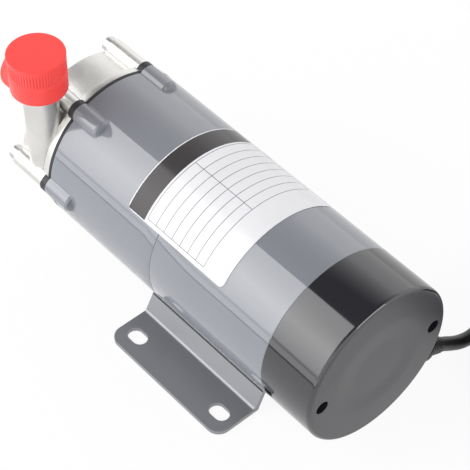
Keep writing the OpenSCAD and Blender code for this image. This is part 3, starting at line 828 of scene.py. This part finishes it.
@dataclass(frozen=True)
class Panel:
    """A flat light panel that faces a point and fades towards its foot, in metres and watts."""

    name: str
    centre: Vec3
    aim: Vec3
    size: Pair
    power: float
    foot: float = 0.42
    full_from: float = 0.5

    def light(self) -> None:
        """Makes the panel, which the camera doesn't see."""
        lamp = bpy.data.lights.new(self.name, "AREA")
        lamp.shape = "RECTANGLE"
        lamp.size, lamp.size_y = self.size
        lamp.energy = self.power
        lamp.use_nodes = True
        wires = Wiring(lamp.node_tree)
        glow = next(n for n in lamp.node_tree.nodes if n.type == "EMISSION")
        where = wires.add("NewGeometry").outputs["Parametric"]
        height = wires.add("SeparateXYZ", {"Vector": where}).outputs["Y"]
        wires.feed(glow, {"Strength": wires.ramp(height, (0.0, self.full_from), (self.foot, 1.0))})
        back = unit(np.subtract(self.centre, self.aim))
        level = unit(np.cross(UP, back))
        made = stand(self.name, lamp, (level, np.cross(back, level), back), self.centre)
        made.visible_camera = False


@dataclass(frozen=True)
class FloorStrip:
    """A strip on the floor, outside the picture and seen only as a reflection along the body.

    Its strength is its brightness, where the white floor has 1.
    """

    name: str
    reach: Pair
    strength: float
    span: Pair = (-1500.0, 900.0)
    height: float = 0.2

    def lay(self) -> None:
        """Makes the strip."""
        made = sheet(self.name, self.span, self.reach, self.height)
        paint = bpy.data.materials.new(self.name)
        wires = Wiring.within(paint)
        glow = wires.add("Emission", {"Color": WHITE, "Strength": self.strength})
        wires.add("OutputMaterial", {"Surface": glow.outputs[0]})
        made.data.materials.append(paint)
        made.visible_camera = False
        made.visible_diffuse = False
        made.visible_shadow = False


@dataclass
class Studio:
    """Camera at the photograph's place, pale floor and soft light."""

    eye: Vec3 = (0.36269, -0.32999, 0.60695)
    right: Vec3 = (0.66107, 0.75033, 0.0)
    up: Vec3 = (-0.55925, 0.49273, 0.66668)
    ahead: Vec3 = (-0.50022, 0.44072, -0.74535)
    focal_px: float = 1776.0
    frame_px: float = 470.0
    sensor: float = 36.0
    clip: Pair = (0.01, 50.0)
    floor_half: float = 6000.0
    floor_z: float = -0.02
    floor_colour: Colour = (0.9, 0.9, 0.905, 1.0)
    floor_lift: float = 0.92
    horizon: float = 1.35
    ceiling: float = 0.07
    darkening: Pair = (0.5, 0.87)
    strips: tuple[FloorStrip, ...] = (
        FloorStrip("table_edge", (-368.0, -306.0), 0.06),
        FloorStrip("table_top", (-2400.0, -368.0), 1.9),
    )
    panels: tuple[Panel, ...] = (
        Panel("side_panel", (-0.72, -0.78, 0.64), (-0.72, -0.055, -0.049), (1.2, 1.473), 14.5),
        Panel("rear_panel", (1.25, 0.35, 0.8), (0.07, 0.0, 0.05), (0.9, 0.3), 4.5),
    )

    def camera(self) -> None:
        """Sets the camera at the photograph's place."""
        lens = bpy.data.cameras.new("photo_camera")
        lens.sensor_width = self.sensor
        lens.lens = self.focal_px / self.frame_px * self.sensor
        lens.clip_start, lens.clip_end = self.clip
        axes = (self.right, self.up, -np.array(self.ahead))
        bpy.context.scene.camera = stand("photo_camera", lens, axes, self.eye)

    def floor(self) -> None:
        """A wide pale floor that shows white and keeps the object's shadow."""
        reach = (-self.floor_half, self.floor_half)
        made = sheet("floor", reach, reach, self.floor_z)
        paint = bpy.data.materials.new("pale_floor")
        wires = Wiring.within(paint)
        rays = wires.add("LightPath").outputs
        seen = wires.math("MAXIMUM", rays["Is Camera Ray"], rays["Is Glossy Ray"])
        through = wires.math("MAXIMUM", seen, rays["Is Transmission Ray"])
        share = wires.math("MULTIPLY", through, self.floor_lift)
        matt = wires.add("BsdfDiffuse", {"Color": self.floor_colour})
        glow = wires.add("Emission", {"Color": WHITE})
        mix = wires.add("MixShader", {"Fac": share, 1: matt.outputs[0], 2: glow.outputs[0]})
        wires.add("OutputMaterial", {"Surface": mix.outputs[0]})
        made.data.materials.append(paint)

    def air(self) -> None:
        """White surroundings that fade to a dark ceiling for the object, and stay white for the camera."""
        world = bpy.data.worlds.new("studio")
        bpy.context.scene.world = world
        wires = Wiring.within(world)
        way = wires.add("TexCoord").outputs["Generated"]
        height = wires.add("SeparateXYZ", {"Vector": way}).outputs["Z"]
        fade = wires.ramp(height, self.darkening, (self.horizon, self.ceiling))
        dim = wires.add("Background", {"Color": WHITE, "Strength": fade})
        white = wires.add("Background", {"Color": WHITE, "Strength": 1.0})
        seen = wires.add("LightPath").outputs["Is Camera Ray"]
        mix = wires.add("MixShader", {"Fac": seen, 1: dim.outputs[0], 2: white.outputs[0]})
        wires.add("OutputWorld", {"Surface": mix.outputs[0]})
        bpy.context.scene.view_settings.view_transform = "Standard"

    def build(self) -> None:
        """Sets up the whole studio."""
        self.camera()
        self.floor()
        for strip in self.strips:
            strip.lay()
        self.air()
        for panel in self.panels:
            panel.light()


@dataclass
class MainsCord:
    """The mains cord: lead on the bench, coil held by a tie, and tail to the plug."""

    diameter: float = 6.4
    sides: int = 20
    lead: tuple[Vec3, ...] = (
        (68.0, 46.936, 11.327),
        (68.1, 49.0, 9.95),
        (68.5, 53.0, 7.3),
        (69.1, 58.0, 4.8),
        (69.5, 64.0, 3.4),
        (69.0, 71.0, 3.2),
        (67.6, 79.0, 3.3),
        (66.2, 85.0, 3.5),
    )
    lead_steps: int = 3
    gland_taper: Pair = (41.6, 53.2)
    gland_taper_r: Pair = (4.8, 3.75)
    gland_end: float = 53.6
    centre: Pair = (106.0, 95.0)
    first_angle: float = 189.0
    outer_lane: float = 41.4
    turns: tuple[float, ...] = (0.0, 720.0, 840.0, 1620.0, 1740.0, 2104.0)
    rise_from: float = 2064.0
    rise_short: float = 4.0
    arc_r: float = 26.0
    arc_sweep: float = 130.0
    plug_rise: float = 15.7
    plug_grip: Pair = (0.5, 4.0)
    step: float = 8.0
    tie_lift: float = 0.3
    tie_half: Pair = (10.3, 9.9)
    tie_squareness: float = 0.22
    tie_thick: float = 0.28
    tie_half_width: float = 3.0
    tie_angle: float = -40.0
    tie_lane: float = 34.9

    def coil(self) -> np.ndarray:
        """The coil's centreline and the arc to the plug that lies on it.

        The cord runs in a flat spiral inwards, climbs one diameter, spirals outwards, climbs again and
        spirals inwards. It leaves the last turn on a tighter arc, which touches that turn and rises to the
        plug.

        Returns:
            Points of the centreline, clockwise seen from above.
        """
        p = np.arange(0.0, self.turns[-1] + self.step / 2, self.step)
        pitch = self.diameter / 360.0
        outer = self.outer_lane
        low = outer - pitch * self.turns[1]
        inner = outer - pitch * (self.turns[3] - self.turns[2])
        last = outer - pitch * (self.turns[5] - self.turns[4])
        radius = np.interp(p, self.turns, [outer, low, inner, outer, outer, last])
        climb = ease(p, self.turns[1], self.turns[2]) + ease(p, self.turns[3], self.turns[4])
        flat = radius[:, None] * on_circle(np.radians(self.first_angle - p)) + np.array(self.centre)
        sweep = np.arange(self.step, self.arc_sweep + self.step / 2, self.step)
        leave = self.first_angle - self.turns[-1]
        hub = np.array(self.centre) + (last - self.arc_r) * on_circle(math.radians(leave))
        arc = hub + self.arc_r * on_circle(np.radians(leave - sweep))
        before = np.radians(p - self.rise_from) * last
        after = np.radians(self.turns[-1] - self.rise_from) * last + np.radians(sweep) * self.arc_r
        layer = np.concatenate([climb, np.full(len(sweep), 2.0)])
        rise = ease(np.concatenate([before, after]), 0.0, after[-1] - self.rise_short)
        z = layer * self.diameter + self.diameter / 2 + self.tie_lift + self.plug_rise * rise
        return np.column_stack([np.vstack([flat, arc]), z])

    def route(self) -> np.ndarray:
        """The whole centreline from the gland's tip to inside the plug's neck."""
        lead = smooth_route(np.vstack([GLAND.line(self.gland_end), self.lead]), self.lead_steps)
        return np.vstack([lead, self.coil(), PLUG.line(*self.plug_grip)])

    def tie(self) -> bpy.types.Object:
        """A strap around the coil's turns: a rounded oblong carried around the bundle's section.

        Returns:
            The strap.
        """
        circle = on_circle(around(64))
        squared = np.sign(circle) * np.abs(circle) ** self.tie_squareness
        outer = squared * np.array(self.tie_half)
        inner = squared * (np.array(self.tie_half) - self.tie_thick)
        rings = np.stack([outer, outer, inner, inner])
        across = np.array([-1.0, 1.0, 1.0, -1.0])[:, None, None] * self.tie_half_width
        heading = on_circle(math.radians(self.tie_angle))
        out = np.append(heading, 0.0)
        side = np.append(left_of(heading), 0.0)
        middle = np.array([*self.centre, self.tie_half[1]]) + self.tie_lane * out
        points = middle + rings[..., :1] * out + rings[..., 1:] * UP + across * side
        return surface("coil_tie", points, True, True, crease=50.0)

    def gland(self) -> bpy.types.Object:
        """Tapered strain relief: a collar, and a taper that is scored by ring grooves at an even pitch."""
        start, end = self.gland_taper
        thick = self.gland_taper_r[0]
        groove_depth, groove_pitch, groove_share = 0.2, 2.3, -0.55
        line = np.linspace(start, end, 70)
        taper = np.interp(line, self.gland_taper, self.gland_taper_r)
        score = groove_depth * (np.cos(2.0 * np.pi * (line - start) / groove_pitch) < groove_share)
        collar = rounded(
            [(33.5, 0.0), (33.5, 4.2), (38.6, 4.2), (38.6, 6.2), (start, 6.2), (start, thick)],
            [0, 0.2, 0, 0.5, 0.8, 0],
        )
        tip = [(self.gland_end, 3.5), (self.gland_end, 0.0)]
        profile = np.vstack([collar, np.column_stack([line, taper - score]), tip])
        return revolved("strain_relief", GLAND, profile, columns=48)

    @staticmethod
    def plug() -> bpy.types.Object:
        """Moulded plug: a grooved neck, a shoulder and a round body with flats for the fingers."""
        groove_depth, groove_pitch, groove_share, groove_end = 0.5, 2.2, -0.6, 7.5
        flat_depth, flat_middle, flat_half, flat_power, body_from = 1.1, 26.0, 9.0, 6, 11.0
        neck = np.linspace(0.3, 9.0, 50)
        flare = np.interp(neck, [0.3, 5.0, 9.0], [5.3, 6.6, 9.6])
        wave = np.cos(2.0 * np.pi * neck / groove_pitch)
        score = groove_depth * (wave < groove_share) * (neck < groove_end)
        corners = [(9.4, 9.9), (10.0, 12.5), (40.0, 12.5), (44.0, 11.4), (44.0, 0.0)]
        body = rounded(corners, [0, 1.6, 2.5, 1.4, 0])
        profile = np.vstack([[(0.0, 0.0), (0.0, 5.0)], np.column_stack([neck, flare - score]), body])

        def flats(along: np.ndarray, radius: np.ndarray, angle: np.ndarray) -> np.ndarray:
            """Presses two shallow hollows into the sides of the body."""
            dip = np.exp(-(((along - flat_middle) / flat_half) ** 2)) * np.abs(np.sin(angle)) ** flat_power
            return np.where(radius > body_from, radius - flat_depth * dip, radius)

        return revolved("plug_moulding", PLUG, profile, columns=72, shape=flats)

    def build(self, shop: PaintShop) -> None:
        """Makes the cord, its tie, the gland and the plug.

        Args:
            shop: the materials.
        """
        path = self.route()
        flex = shop.dress(swept("mains_cord", path, self.diameter / 2, self.sides), Slot.CABLE)
        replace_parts(flex, "cable", "cable_coil", "cable_tail")
        tie = shop.dress(self.tie(), Slot.BLACK_PLASTIC)
        plug = shop.dress(self.plug(), Slot.CABLE)
        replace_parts(plug, "plug_body")
        gland = shop.dress(self.gland(), Slot.CABLE)
        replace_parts(gland, "cable_gland")


@dataclass
class MotorBody:
    """Grey front housing with its bolt bosses, and the grey motor shell."""

    bosses: int = 6
    boss_r: Pair = (4.8, 4.2)
    boss_x: Pair = (-76.6, -75.6)
    boss_fade: Pair = (-0.1, 0.35)
    boss_circle: float = 36.5
    boss_fillet: float = 1.3
    seam: float = 0.45
    seam_edge: Pair = (0.5, 0.12)
    eased: float = 0.25
    spigot_end: float = -17.0
    spigot_bore: float = 33.0
    bulkhead: Pair = (-34.0, -30.0)
    bearing_seat: Pair = (11.0, 14.5)
    shaft_hole: float = 9.0
    coupling_bore: float = 33.5

    def boss_skin(self, along: np.ndarray, radius: np.ndarray, angle: np.ndarray) -> np.ndarray:
        """Outer radius of the housing with its bosses.

        Around each boss the skin is the far side of a circle that stands on the bolt circle, joined to the
        round body by a fillet. The circle shrinks a little at the boss's rear, where the boss ends in a
        steep face.

        Args:
            along: stations on the shaft.
            radius: radius of the plain body.
            angle: angles about the shaft.

        Returns:
            Radius of the skin.
        """
        pitch = 2.0 * math.pi / self.bosses
        off = np.mod(angle, pitch) - pitch / 2
        r = np.interp(along, self.boss_x, self.boss_r)
        half = np.maximum(r**2 - (self.boss_circle * np.sin(off)) ** 2, 0.0)
        boss = self.boss_circle * np.cos(off) + np.sqrt(half)
        full = soft_max(radius, boss, self.boss_fillet)
        end = self.boss_x[1]
        fade = 1.0 - ease(along, end + self.boss_fade[0], end + self.boss_fade[1])
        return np.where(radius > BODY_R - 1.0, radius + (full - radius) * fade, radius)

    def split_edge(self, side: float) -> Profile:
        """Eased edge at the seam of housing and shell, from the body's face down into the seam.

        Args:
            side: -1 for the housing's edge, 1 for the shell's.

        Returns:
            Points of the edge.
        """
        begin, chamfer = self.seam_edge
        return [
            (SPLIT_X + begin * side, BODY_R),
            (SPLIT_X + chamfer * side, BODY_R - chamfer),
            (SPLIT_X, BODY_R - self.seam),
        ]

    def housing(self) -> bpy.types.Object:
        """Closed skin of the front housing: bossed outside, spigot, bearing seat and coupling bore."""
        on_bosses = np.linspace(-89.0, -80.0, 4)
        boss_ends = np.linspace(-78.0, -74.8, 33)
        stations = np.concatenate([[RIM_X + self.eased], on_bosses, boss_ends, [-70.0, -50.0, -30.0]])
        outside = np.column_stack([stations, np.full_like(stations, BODY_R)])
        front, rear = self.bulkhead
        seat, seat_wall = self.bearing_seat
        inside = [
            (SPLIT_X, SPIGOT_R),
            (self.spigot_end, SPIGOT_R),
            (self.spigot_end, self.spigot_bore),
            (rear, self.spigot_bore),
            (rear, seat_wall),
            (SPLIT_X, seat_wall),
            (SPLIT_X, seat),
            (rear, seat),
            (rear, self.shaft_hole),
            (front, self.shaft_hole),
            (front, self.coupling_bore),
            (RIM_X, self.coupling_bore),
            (RIM_X, SPIGOT_R),
        ]
        profile = np.vstack([[(RIM_X, BODY_R - self.eased)], outside, self.split_edge(-1.0), inside])
        return revolved(
            "front_housing_casting",
            SHAFT,
            profile,
            columns=720,
            closed=True,
            shape=self.boss_skin,
            crease=35.0,
        )

    def shell(self) -> bpy.types.Object:
        """Closed skin of the motor shell, a plain tube with eased ends."""
        profile = [
            *self.split_edge(1.0)[::-1],
            (0.0, BODY_R),
            (JOINT_X - 0.3, BODY_R),
            (JOINT_X, BODY_R - self.eased),
            (JOINT_X, SPIGOT_R),
            (SPLIT_X, SPIGOT_R),
        ]
        return revolved("motor_shell_tube", SHAFT, profile, columns=288, closed=True, crease=35.0)

    def build(self, shop: PaintShop) -> None:
        """Makes and dresses the housing and the shell."""
        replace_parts(shop.dress(self.housing(), Slot.GREY_PAINT), "front_housing")
        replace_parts(shop.dress(self.shell(), Slot.GREY_PAINT), "motor_shell")


@dataclass
class PumpHead:
    """Stainless head with its threaded necks, its bolts and the black casing rim behind it."""

    thread_r: float = 10.43
    thread_depth: float = 1.1
    thread_pitch: float = 1.814
    thread_len: float = 15.0
    thread_flank: Pair = (1.15, -0.1)
    run_in: float = 0.9
    run_out: float = 1.2
    end_drop: float = 1.2
    bore_r: float = 5.2
    root_r: float = 7.6
    face_r: float = 9.13
    outlet_start: float = 91.0
    inlet_start: float = 144.2
    lip_x: Pair = (-95.2, -91.9)
    lip_proud: float = 0.06
    lip_sunk: float = 0.5

    def in_thread(self, points: np.ndarray) -> np.ndarray:
        """Marks the points on either neck's plain thread cylinder."""
        outlet = np.hypot(points[:, 0] - OUTLET.origin[0], points[:, 1] - OUTLET.origin[1])
        inlet = np.hypot(points[:, 1], points[:, 2] - AXIS_H)
        slack_r, slack = 0.2, 0.01
        near = self.thread_r + slack_r
        top = (outlet < near) & (points[:, 2] > self.outlet_start - slack)
        front = (inlet < near) & (points[:, 0] < slack - self.inlet_start)
        return top | front

    def thread(self, name: str, axis: Axis, start: float) -> bpy.types.Object:
        """Pipe thread on the end of a neck: a groove that climbs one pitch in each turn.

        Args:
            name: name of the piece.
            axis: the neck's axis.
            start: distance along the axis where the thread starts.

        Returns:
            The threaded end, bored through.
        """
        z = np.linspace(0.0, self.thread_len, 150)
        rows = np.concatenate([[0.0, 0.0], z, [self.thread_len, self.thread_len, 0.0]])
        cut = np.concatenate([[False, False], np.ones(len(z), bool), [False, False, False]])
        plain = np.concatenate([[self.bore_r, self.root_r], z * 0.0, [self.face_r, self.bore_r, self.bore_r]])

        def groove(along: np.ndarray, radius: np.ndarray, angle: np.ndarray) -> np.ndarray:
            """Cuts the groove, shallower at both ends of the thread."""
            h = along - start
            wave = np.abs(np.mod(h / self.thread_pitch - angle / (2.0 * np.pi), 1.0) - 0.5) * 2.0
            ends = np.clip(np.minimum(h / self.run_in, (self.thread_len - h) / self.run_out), 0.0, 1.0)
            crest = self.thread_r - self.end_drop * (1.0 - ends)
            slope, shift = self.thread_flank
            depth = self.thread_depth * np.clip(slope * wave + shift, 0.0, 1.0) * ends
            return np.where(cut[:, None], crest - depth, radius)

        profile = np.column_stack([start + rows, plain])
        return revolved(name, axis, profile, columns=96, shape=groove, crease=50.0)

    def lip(self) -> bpy.types.Object:
        """Thin lip of the drum that laps the casing rim between its ears, a ring just proud of the rim."""
        start, end = self.lip_x
        low, high = BODY_R - self.lip_sunk, BODY_R + self.lip_proud
        profile = rounded([(start, low), (start, high), (end, high), (end, low)], [0, 0.02, 0.25, 0])
        return revolved("drum_lip", SHAFT, profile, columns=288, closed=True, crease=35.0)

    def build(self, frame: dict, shop: PaintShop) -> None:
        """Makes and dresses the head.

        Args:
            frame: the loaded frame.
            shop: the materials.
        """
        casting = softened_copy(frame, "pump_head", "head_casting", Softening(0.7), self.in_thread)
        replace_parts(shop.dress(casting, Slot.STAINLESS), "pump_head")
        shop.dress(self.thread("outlet_thread_end", OUTLET, self.outlet_start), Slot.STAINLESS)
        shop.dress(self.thread("inlet_thread_end", INLET, self.inlet_start), Slot.STAINLESS)
        bolts = softened_copy(frame, "head_bolts", "socket_bolts", Softening(0.3, 2))
        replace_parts(shop.dress(bolts, Slot.FASTENER), "head_bolts")
        shop.dress(self.lip(), Slot.STAINLESS)
        rim = softened_copy(frame, "rear_casing", "casing_rim", Softening(0.35, 2))
        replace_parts(shop.dress(rim, Slot.BLACK_PLASTIC), "rear_casing")


@dataclass
class PortCap:
    """Red ribbed cap over a threaded port, with its stations counted from its rim."""

    name: str
    node: str
    body: str
    axis: Axis
    rim: float
    ribs: int = 60
    rib_steps: int = 8
    rib_depth: float = 0.36
    bore_r: float = 10.8
    bore_end: float = 17.0
    skirt_r: float = 12.45
    band: Pair = (9.7, 17.3)
    band_r: Pair = (12.47, 12.66)
    band_fade: Pair = (0.8, 0.9)
    outer_r: float = 12.75
    height: float = 19.0

    def skin(self) -> bpy.types.Object:
        """Closed skin of the cap: bore, rim, smooth skirt, ribbed band, plain rounded edge and flat top.

        The ribbed band's radius follows a raised cosine around the cap, which fades out above and below.

        Returns:
            The cap.
        """
        bore, skirt_r, top_z = self.bore_r, self.skirt_r, self.height
        inside = [(self.bore_end, 0.0), (self.bore_end, bore), (0.0, bore)]
        foot = [(0.0, bore), (0.0, skirt_r), (8.8, 12.62), (9.1, skirt_r), (9.5, skirt_r)]
        skirt = rounded(foot, [0, 0.4, 0.15, 0.1, 0])
        band = np.column_stack([np.linspace(*self.band, 26), np.linspace(*self.band_r, 26)])
        edge = [(17.5, 12.68), (top_z, self.outer_r), (top_z, 11.0), (top_z, 0.0)]
        profile = np.vstack([inside, skirt[1:], band, rounded(edge, [0, 0.5, 0, 0], 7)])
        profile[:, 0] += self.rim

        def ribbed(along: np.ndarray, radius: np.ndarray, angle: np.ndarray) -> np.ndarray:
            """Presses the grooves between the ribs, on the outside only."""
            h = along - self.rim
            low, high = self.band
            rise = ease(h, low, low + self.band_fade[0])
            fall = 1.0 - ease(h, high - self.band_fade[1], high)
            groove = (0.5 + 0.5 * np.cos(self.ribs * angle)) ** 2
            return radius - self.rib_depth * groove * rise * fall * (radius > self.bore_r)

        steps = self.ribs * self.rib_steps
        return revolved(self.name, self.axis, profile, columns=steps, shape=ribbed, crease=45.0)

    def build(self, shop: PaintShop) -> None:
        """Makes and dresses the cap, whose mirror image the body doesn't show in the photograph."""
        cap = shop.dress(self.skin(), Slot.CAP, self.body)
        cap.visible_glossy = False
        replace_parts(cap, self.node)


@dataclass
class RatingLabel:
    """White film wrapped over the body, with a dark header and a bare ruled table."""

    front_x: float = -43.0
    length: float = 59.5
    start: float = -47.0
    end: float = 57.0
    radius: float = 38.25
    thickness: float = 0.18
    corner: float = 2.5
    corner_points: int = 9
    long_points: int = 24
    wide_points: int = 90
    header: float = 10.6
    margin: float = 0.5
    rule_half: float = 0.16
    rows: tuple[float, ...] = (11.8, 17.0, 22.0, 27.0, 32.0, 37.0, 42.0, 47.0)
    columns: tuple[float, ...] = (2.0, 36.0, 67.3)
    paper: Colour = srgb(224, 224, 227)
    rule_ink: Colour = srgb(120, 120, 126)
    header_ink: Colour = srgb(64, 61, 62)
    shade: Drift = Drift(0.02, 45.0)
    gloss: Pair = (0.12, 0.18)
    specular: float = 0.35

    @property
    def arc(self) -> float:
        """Width of the film around the body."""
        return self.radius * math.radians(self.end - self.start)

    def film(self) -> bpy.types.Object:
        """The film: a grid bent round the body, narrower near both ends so that its corners are round.

        Returns:
            The film, with surface coordinates that run over its length and its width.
        """
        count = self.wide_points
        near = self.corner * (1.0 - np.cos(np.linspace(0.0, np.pi / 2, self.corner_points)))
        straight = np.linspace(self.corner, self.length - self.corner, self.long_points)[1:-1]
        u = np.concatenate([near, straight, self.length - near[::-1]])
        gap = np.clip(self.corner - np.minimum(u, self.length - u), 0.0, self.corner)
        shrink = self.corner - np.sqrt(np.maximum(self.corner**2 - gap**2, 0.0))
        v = np.linspace(-1.0, 1.0, count)[None, :] * (self.arc / 2 - shrink)[:, None]
        middle = math.radians((self.start + self.end) / 2)
        along = np.repeat((self.front_x + u)[:, None], count, axis=1)
        points = SHAFT.place(along, np.full_like(along, self.radius), middle + v / self.radius)
        uv = np.stack([np.repeat((u / self.length)[:, None], count, axis=1), v / self.arc + 0.5], -1)
        made = surface("rating_label", points, uv=uv, outward=False)
        made.data.flip_normals()
        body = made.modifiers.new("film", "SOLIDIFY")
        body.thickness = self.thickness * MM
        body.offset = -1.0
        return made

    def print_film(self, effects: SurfaceEffects) -> bpy.types.Material:
        """White film with a dark header band and thin grey rules, placed by the film's own coordinates.

        Args:
            effects: the shared shader groups.

        Returns:
            The material.
        """
        made = bpy.data.materials.new(Slot.LABEL.value)
        wires = Wiring.within(made)
        flat = wires.add("UVMap", uv_map="film").outputs["UV"]
        place = wires.add("SeparateXYZ", {"Vector": flat}).outputs
        full = {"X": self.length, "Y": self.arc}

        def printed(across: str, along: str, line: float, half: float, ends: Pair) -> Socket:
            """Mask of one rule or band, in millimetres of the film."""
            sizes = {"Line": line / full[across], "Half": half / full[across]}
            sizes |= {"From": ends[0] / full[along], "To": ends[1] / full[along]}
            inputs = {"Across": place[across], "Along": place[along], **sizes}
            return wires.add("Group", inputs, node_tree=effects.rule).outputs["Mask"]

        wide = (self.columns[0], self.columns[-1])
        tall = (self.rows[0], self.rows[-1])
        masks = [printed("X", "Y", row, self.rule_half, wide) for row in self.rows]
        masks += [printed("Y", "X", column, self.rule_half, tall) for column in self.columns]
        rules = masks[0]
        for mask in masks[1:]:
            rules = wires.math("MAXIMUM", rules, mask)
        middle, half = (self.margin + self.header) / 2, (self.header - self.margin) / 2
        band = printed("X", "Y", middle, half, (self.margin, self.arc - self.margin))
        shades = {"Size": self.shade.scale, "Amount": self.shade.amount, "Colour": self.paper}
        shades["Place"] = wires.add("TexCoord").outputs["Object"]
        drift = wires.add("Group", shades, node_tree=effects.drift)
        ink = drift.outputs["Colour"]
        for mask, colour in ((rules, self.rule_ink), (band, self.header_ink)):
            blend = wires.add("Mix", {"Factor": mask, "A": ink, "B": colour}, data_type="RGBA")
            ink = blend.outputs["Result"]
        rough = wires.ramp(drift.outputs["Value"], result=self.gloss)
        film = {"Base Color": ink, "Roughness": rough, "Specular IOR Level": self.specular}
        skin = wires.add("BsdfPrincipled", film)
        wires.add("OutputMaterial", {"Surface": skin.outputs["BSDF"]})
        return made

    def build(self, shop: PaintShop) -> None:
        """Makes, prints and dresses the label."""
        shop.materials[Slot.LABEL] = self.print_film(shop.effects)
        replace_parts(shop.dress(self.film(), Slot.LABEL), "label")


@dataclass
class BaseAndCover:
    """Bent base plate under the body, and the black cover behind it.

    Points of the base's section are distances from its middle and heights.
    """

    half_length: float = 35.8
    bend: Pair = (31.2, 2.0)
    web_top: Pair = (24.68, 13.58)
    bend_r: float = 1.6
    bend_sunk: float = 0.3
    # painted shadow line: a dark strip on each web, where the cleft under the body lies in shade
    shade_line_up: float = 9.5
    shade_line_r: float = 0.52
    shade_line_sunk: float = 0.3

    @property
    def web(self) -> np.ndarray:
        """Direction of the web, from its bend up to the body."""
        return unit(np.subtract(self.web_top, self.bend))

    def carried(self, name: str, section: np.ndarray, side: float) -> bpy.types.Object:
        """A closed section carried along the base and closed at both ends by a fan.

        Args:
            name: name of the object.
            section: points of the section.
            side: -1 for the near side of the base, 1 for the far side.

        Returns:
            The new object.
        """
        ring = section * (side, 1.0)
        hub = np.repeat(ring.mean(axis=0)[None], len(ring), axis=0)
        stations = np.array([-1.0, -1.0, 1.0, 1.0]) * self.half_length
        across = np.stack([hub, ring, ring, hub])
        along = np.broadcast_to(stations[:, None, None], across.shape[:2] + (1,))
        return surface(name, np.concatenate([along, across], axis=-1), False, True)

    def bend_section(self) -> np.ndarray:
        """Inside of the bend: an arc that touches flange and web, closed behind the sharp corner."""
        flange = np.array([1.0, 0.0])
        half = math.acos(float(self.web @ flange)) / 2
        middle = unit(self.web + flange)
        turn = np.linspace(half - math.pi / 2, math.pi / 2 - half, 11)[:, None]
        centre = np.array(self.bend) + middle * self.bend_r / math.sin(half)
        arc = centre + self.bend_r * (np.sin(turn) * left_of(middle) - np.cos(turn) * middle)
        return np.vstack([arc, np.array(self.bend) - self.bend_sunk * middle])

    def shade_line_section(self) -> np.ndarray:
        """Painted shadow line along the web under the body, where the cleft between web and body lies in
        shade: a dark circle that stands a little out of the web.
        """
        centre = np.array(self.bend) + self.shade_line_up * self.web + self.shade_line_sunk * left_of(self.web)
        return centre + self.shade_line_r * on_circle(around(20))

    def build(self, frame: dict, shop: PaintShop) -> None:
        """Makes and dresses the base plate and the cover.

        Args:
            frame: the loaded frame.
            shop: the materials.
        """
        plate = softened_copy(frame, "base_plate", "base_bracket", Softening(0.55))
        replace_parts(shop.dress(plate, Slot.BASE_PAINT), "base_plate")
        for label, side in (("near", -1.0), ("far", 1.0)):
            shop.dress(self.carried(f"base_bend_{label}", self.bend_section(), side), Slot.BASE_PAINT)
            # a dark strip on each web paints the shade of the cleft between the web and the body
            shop.dress(self.carried(f"base_shade_line_{label}", self.shade_line_section(), side), Slot.BLACK_PLASTIC)
        cover = softened_copy(frame, "rear_cover", "rear_cover_moulding", Softening(0.4, angle=35.0))
        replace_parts(shop.dress(cover, Slot.COVER), "rear_cover")


def main() -> None:
    """Builds every sub-assembly in order."""
    logging.basicConfig(level=logging.INFO, format="%(name)s: %(message)s")
    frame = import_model()
    Studio().build()
    shop = PaintShop()
    shop.mix()
    MainsCord().build(shop)
    shop.dress_nodes(frame)
    MotorBody().build(shop)
    PumpHead().build(frame, shop)
    PortCap("outlet_port_cap", "outlet_cap", "outlet_closure", OUTLET, rim=89.8).build(shop)
    PortCap("inlet_port_cap", "inlet_cap", "inlet_closure", INLET, rim=143.0).build(shop)
    RatingLabel().build(shop)
    BaseAndCover().build(frame, shop)


if __name__ == "__main__":
    main()
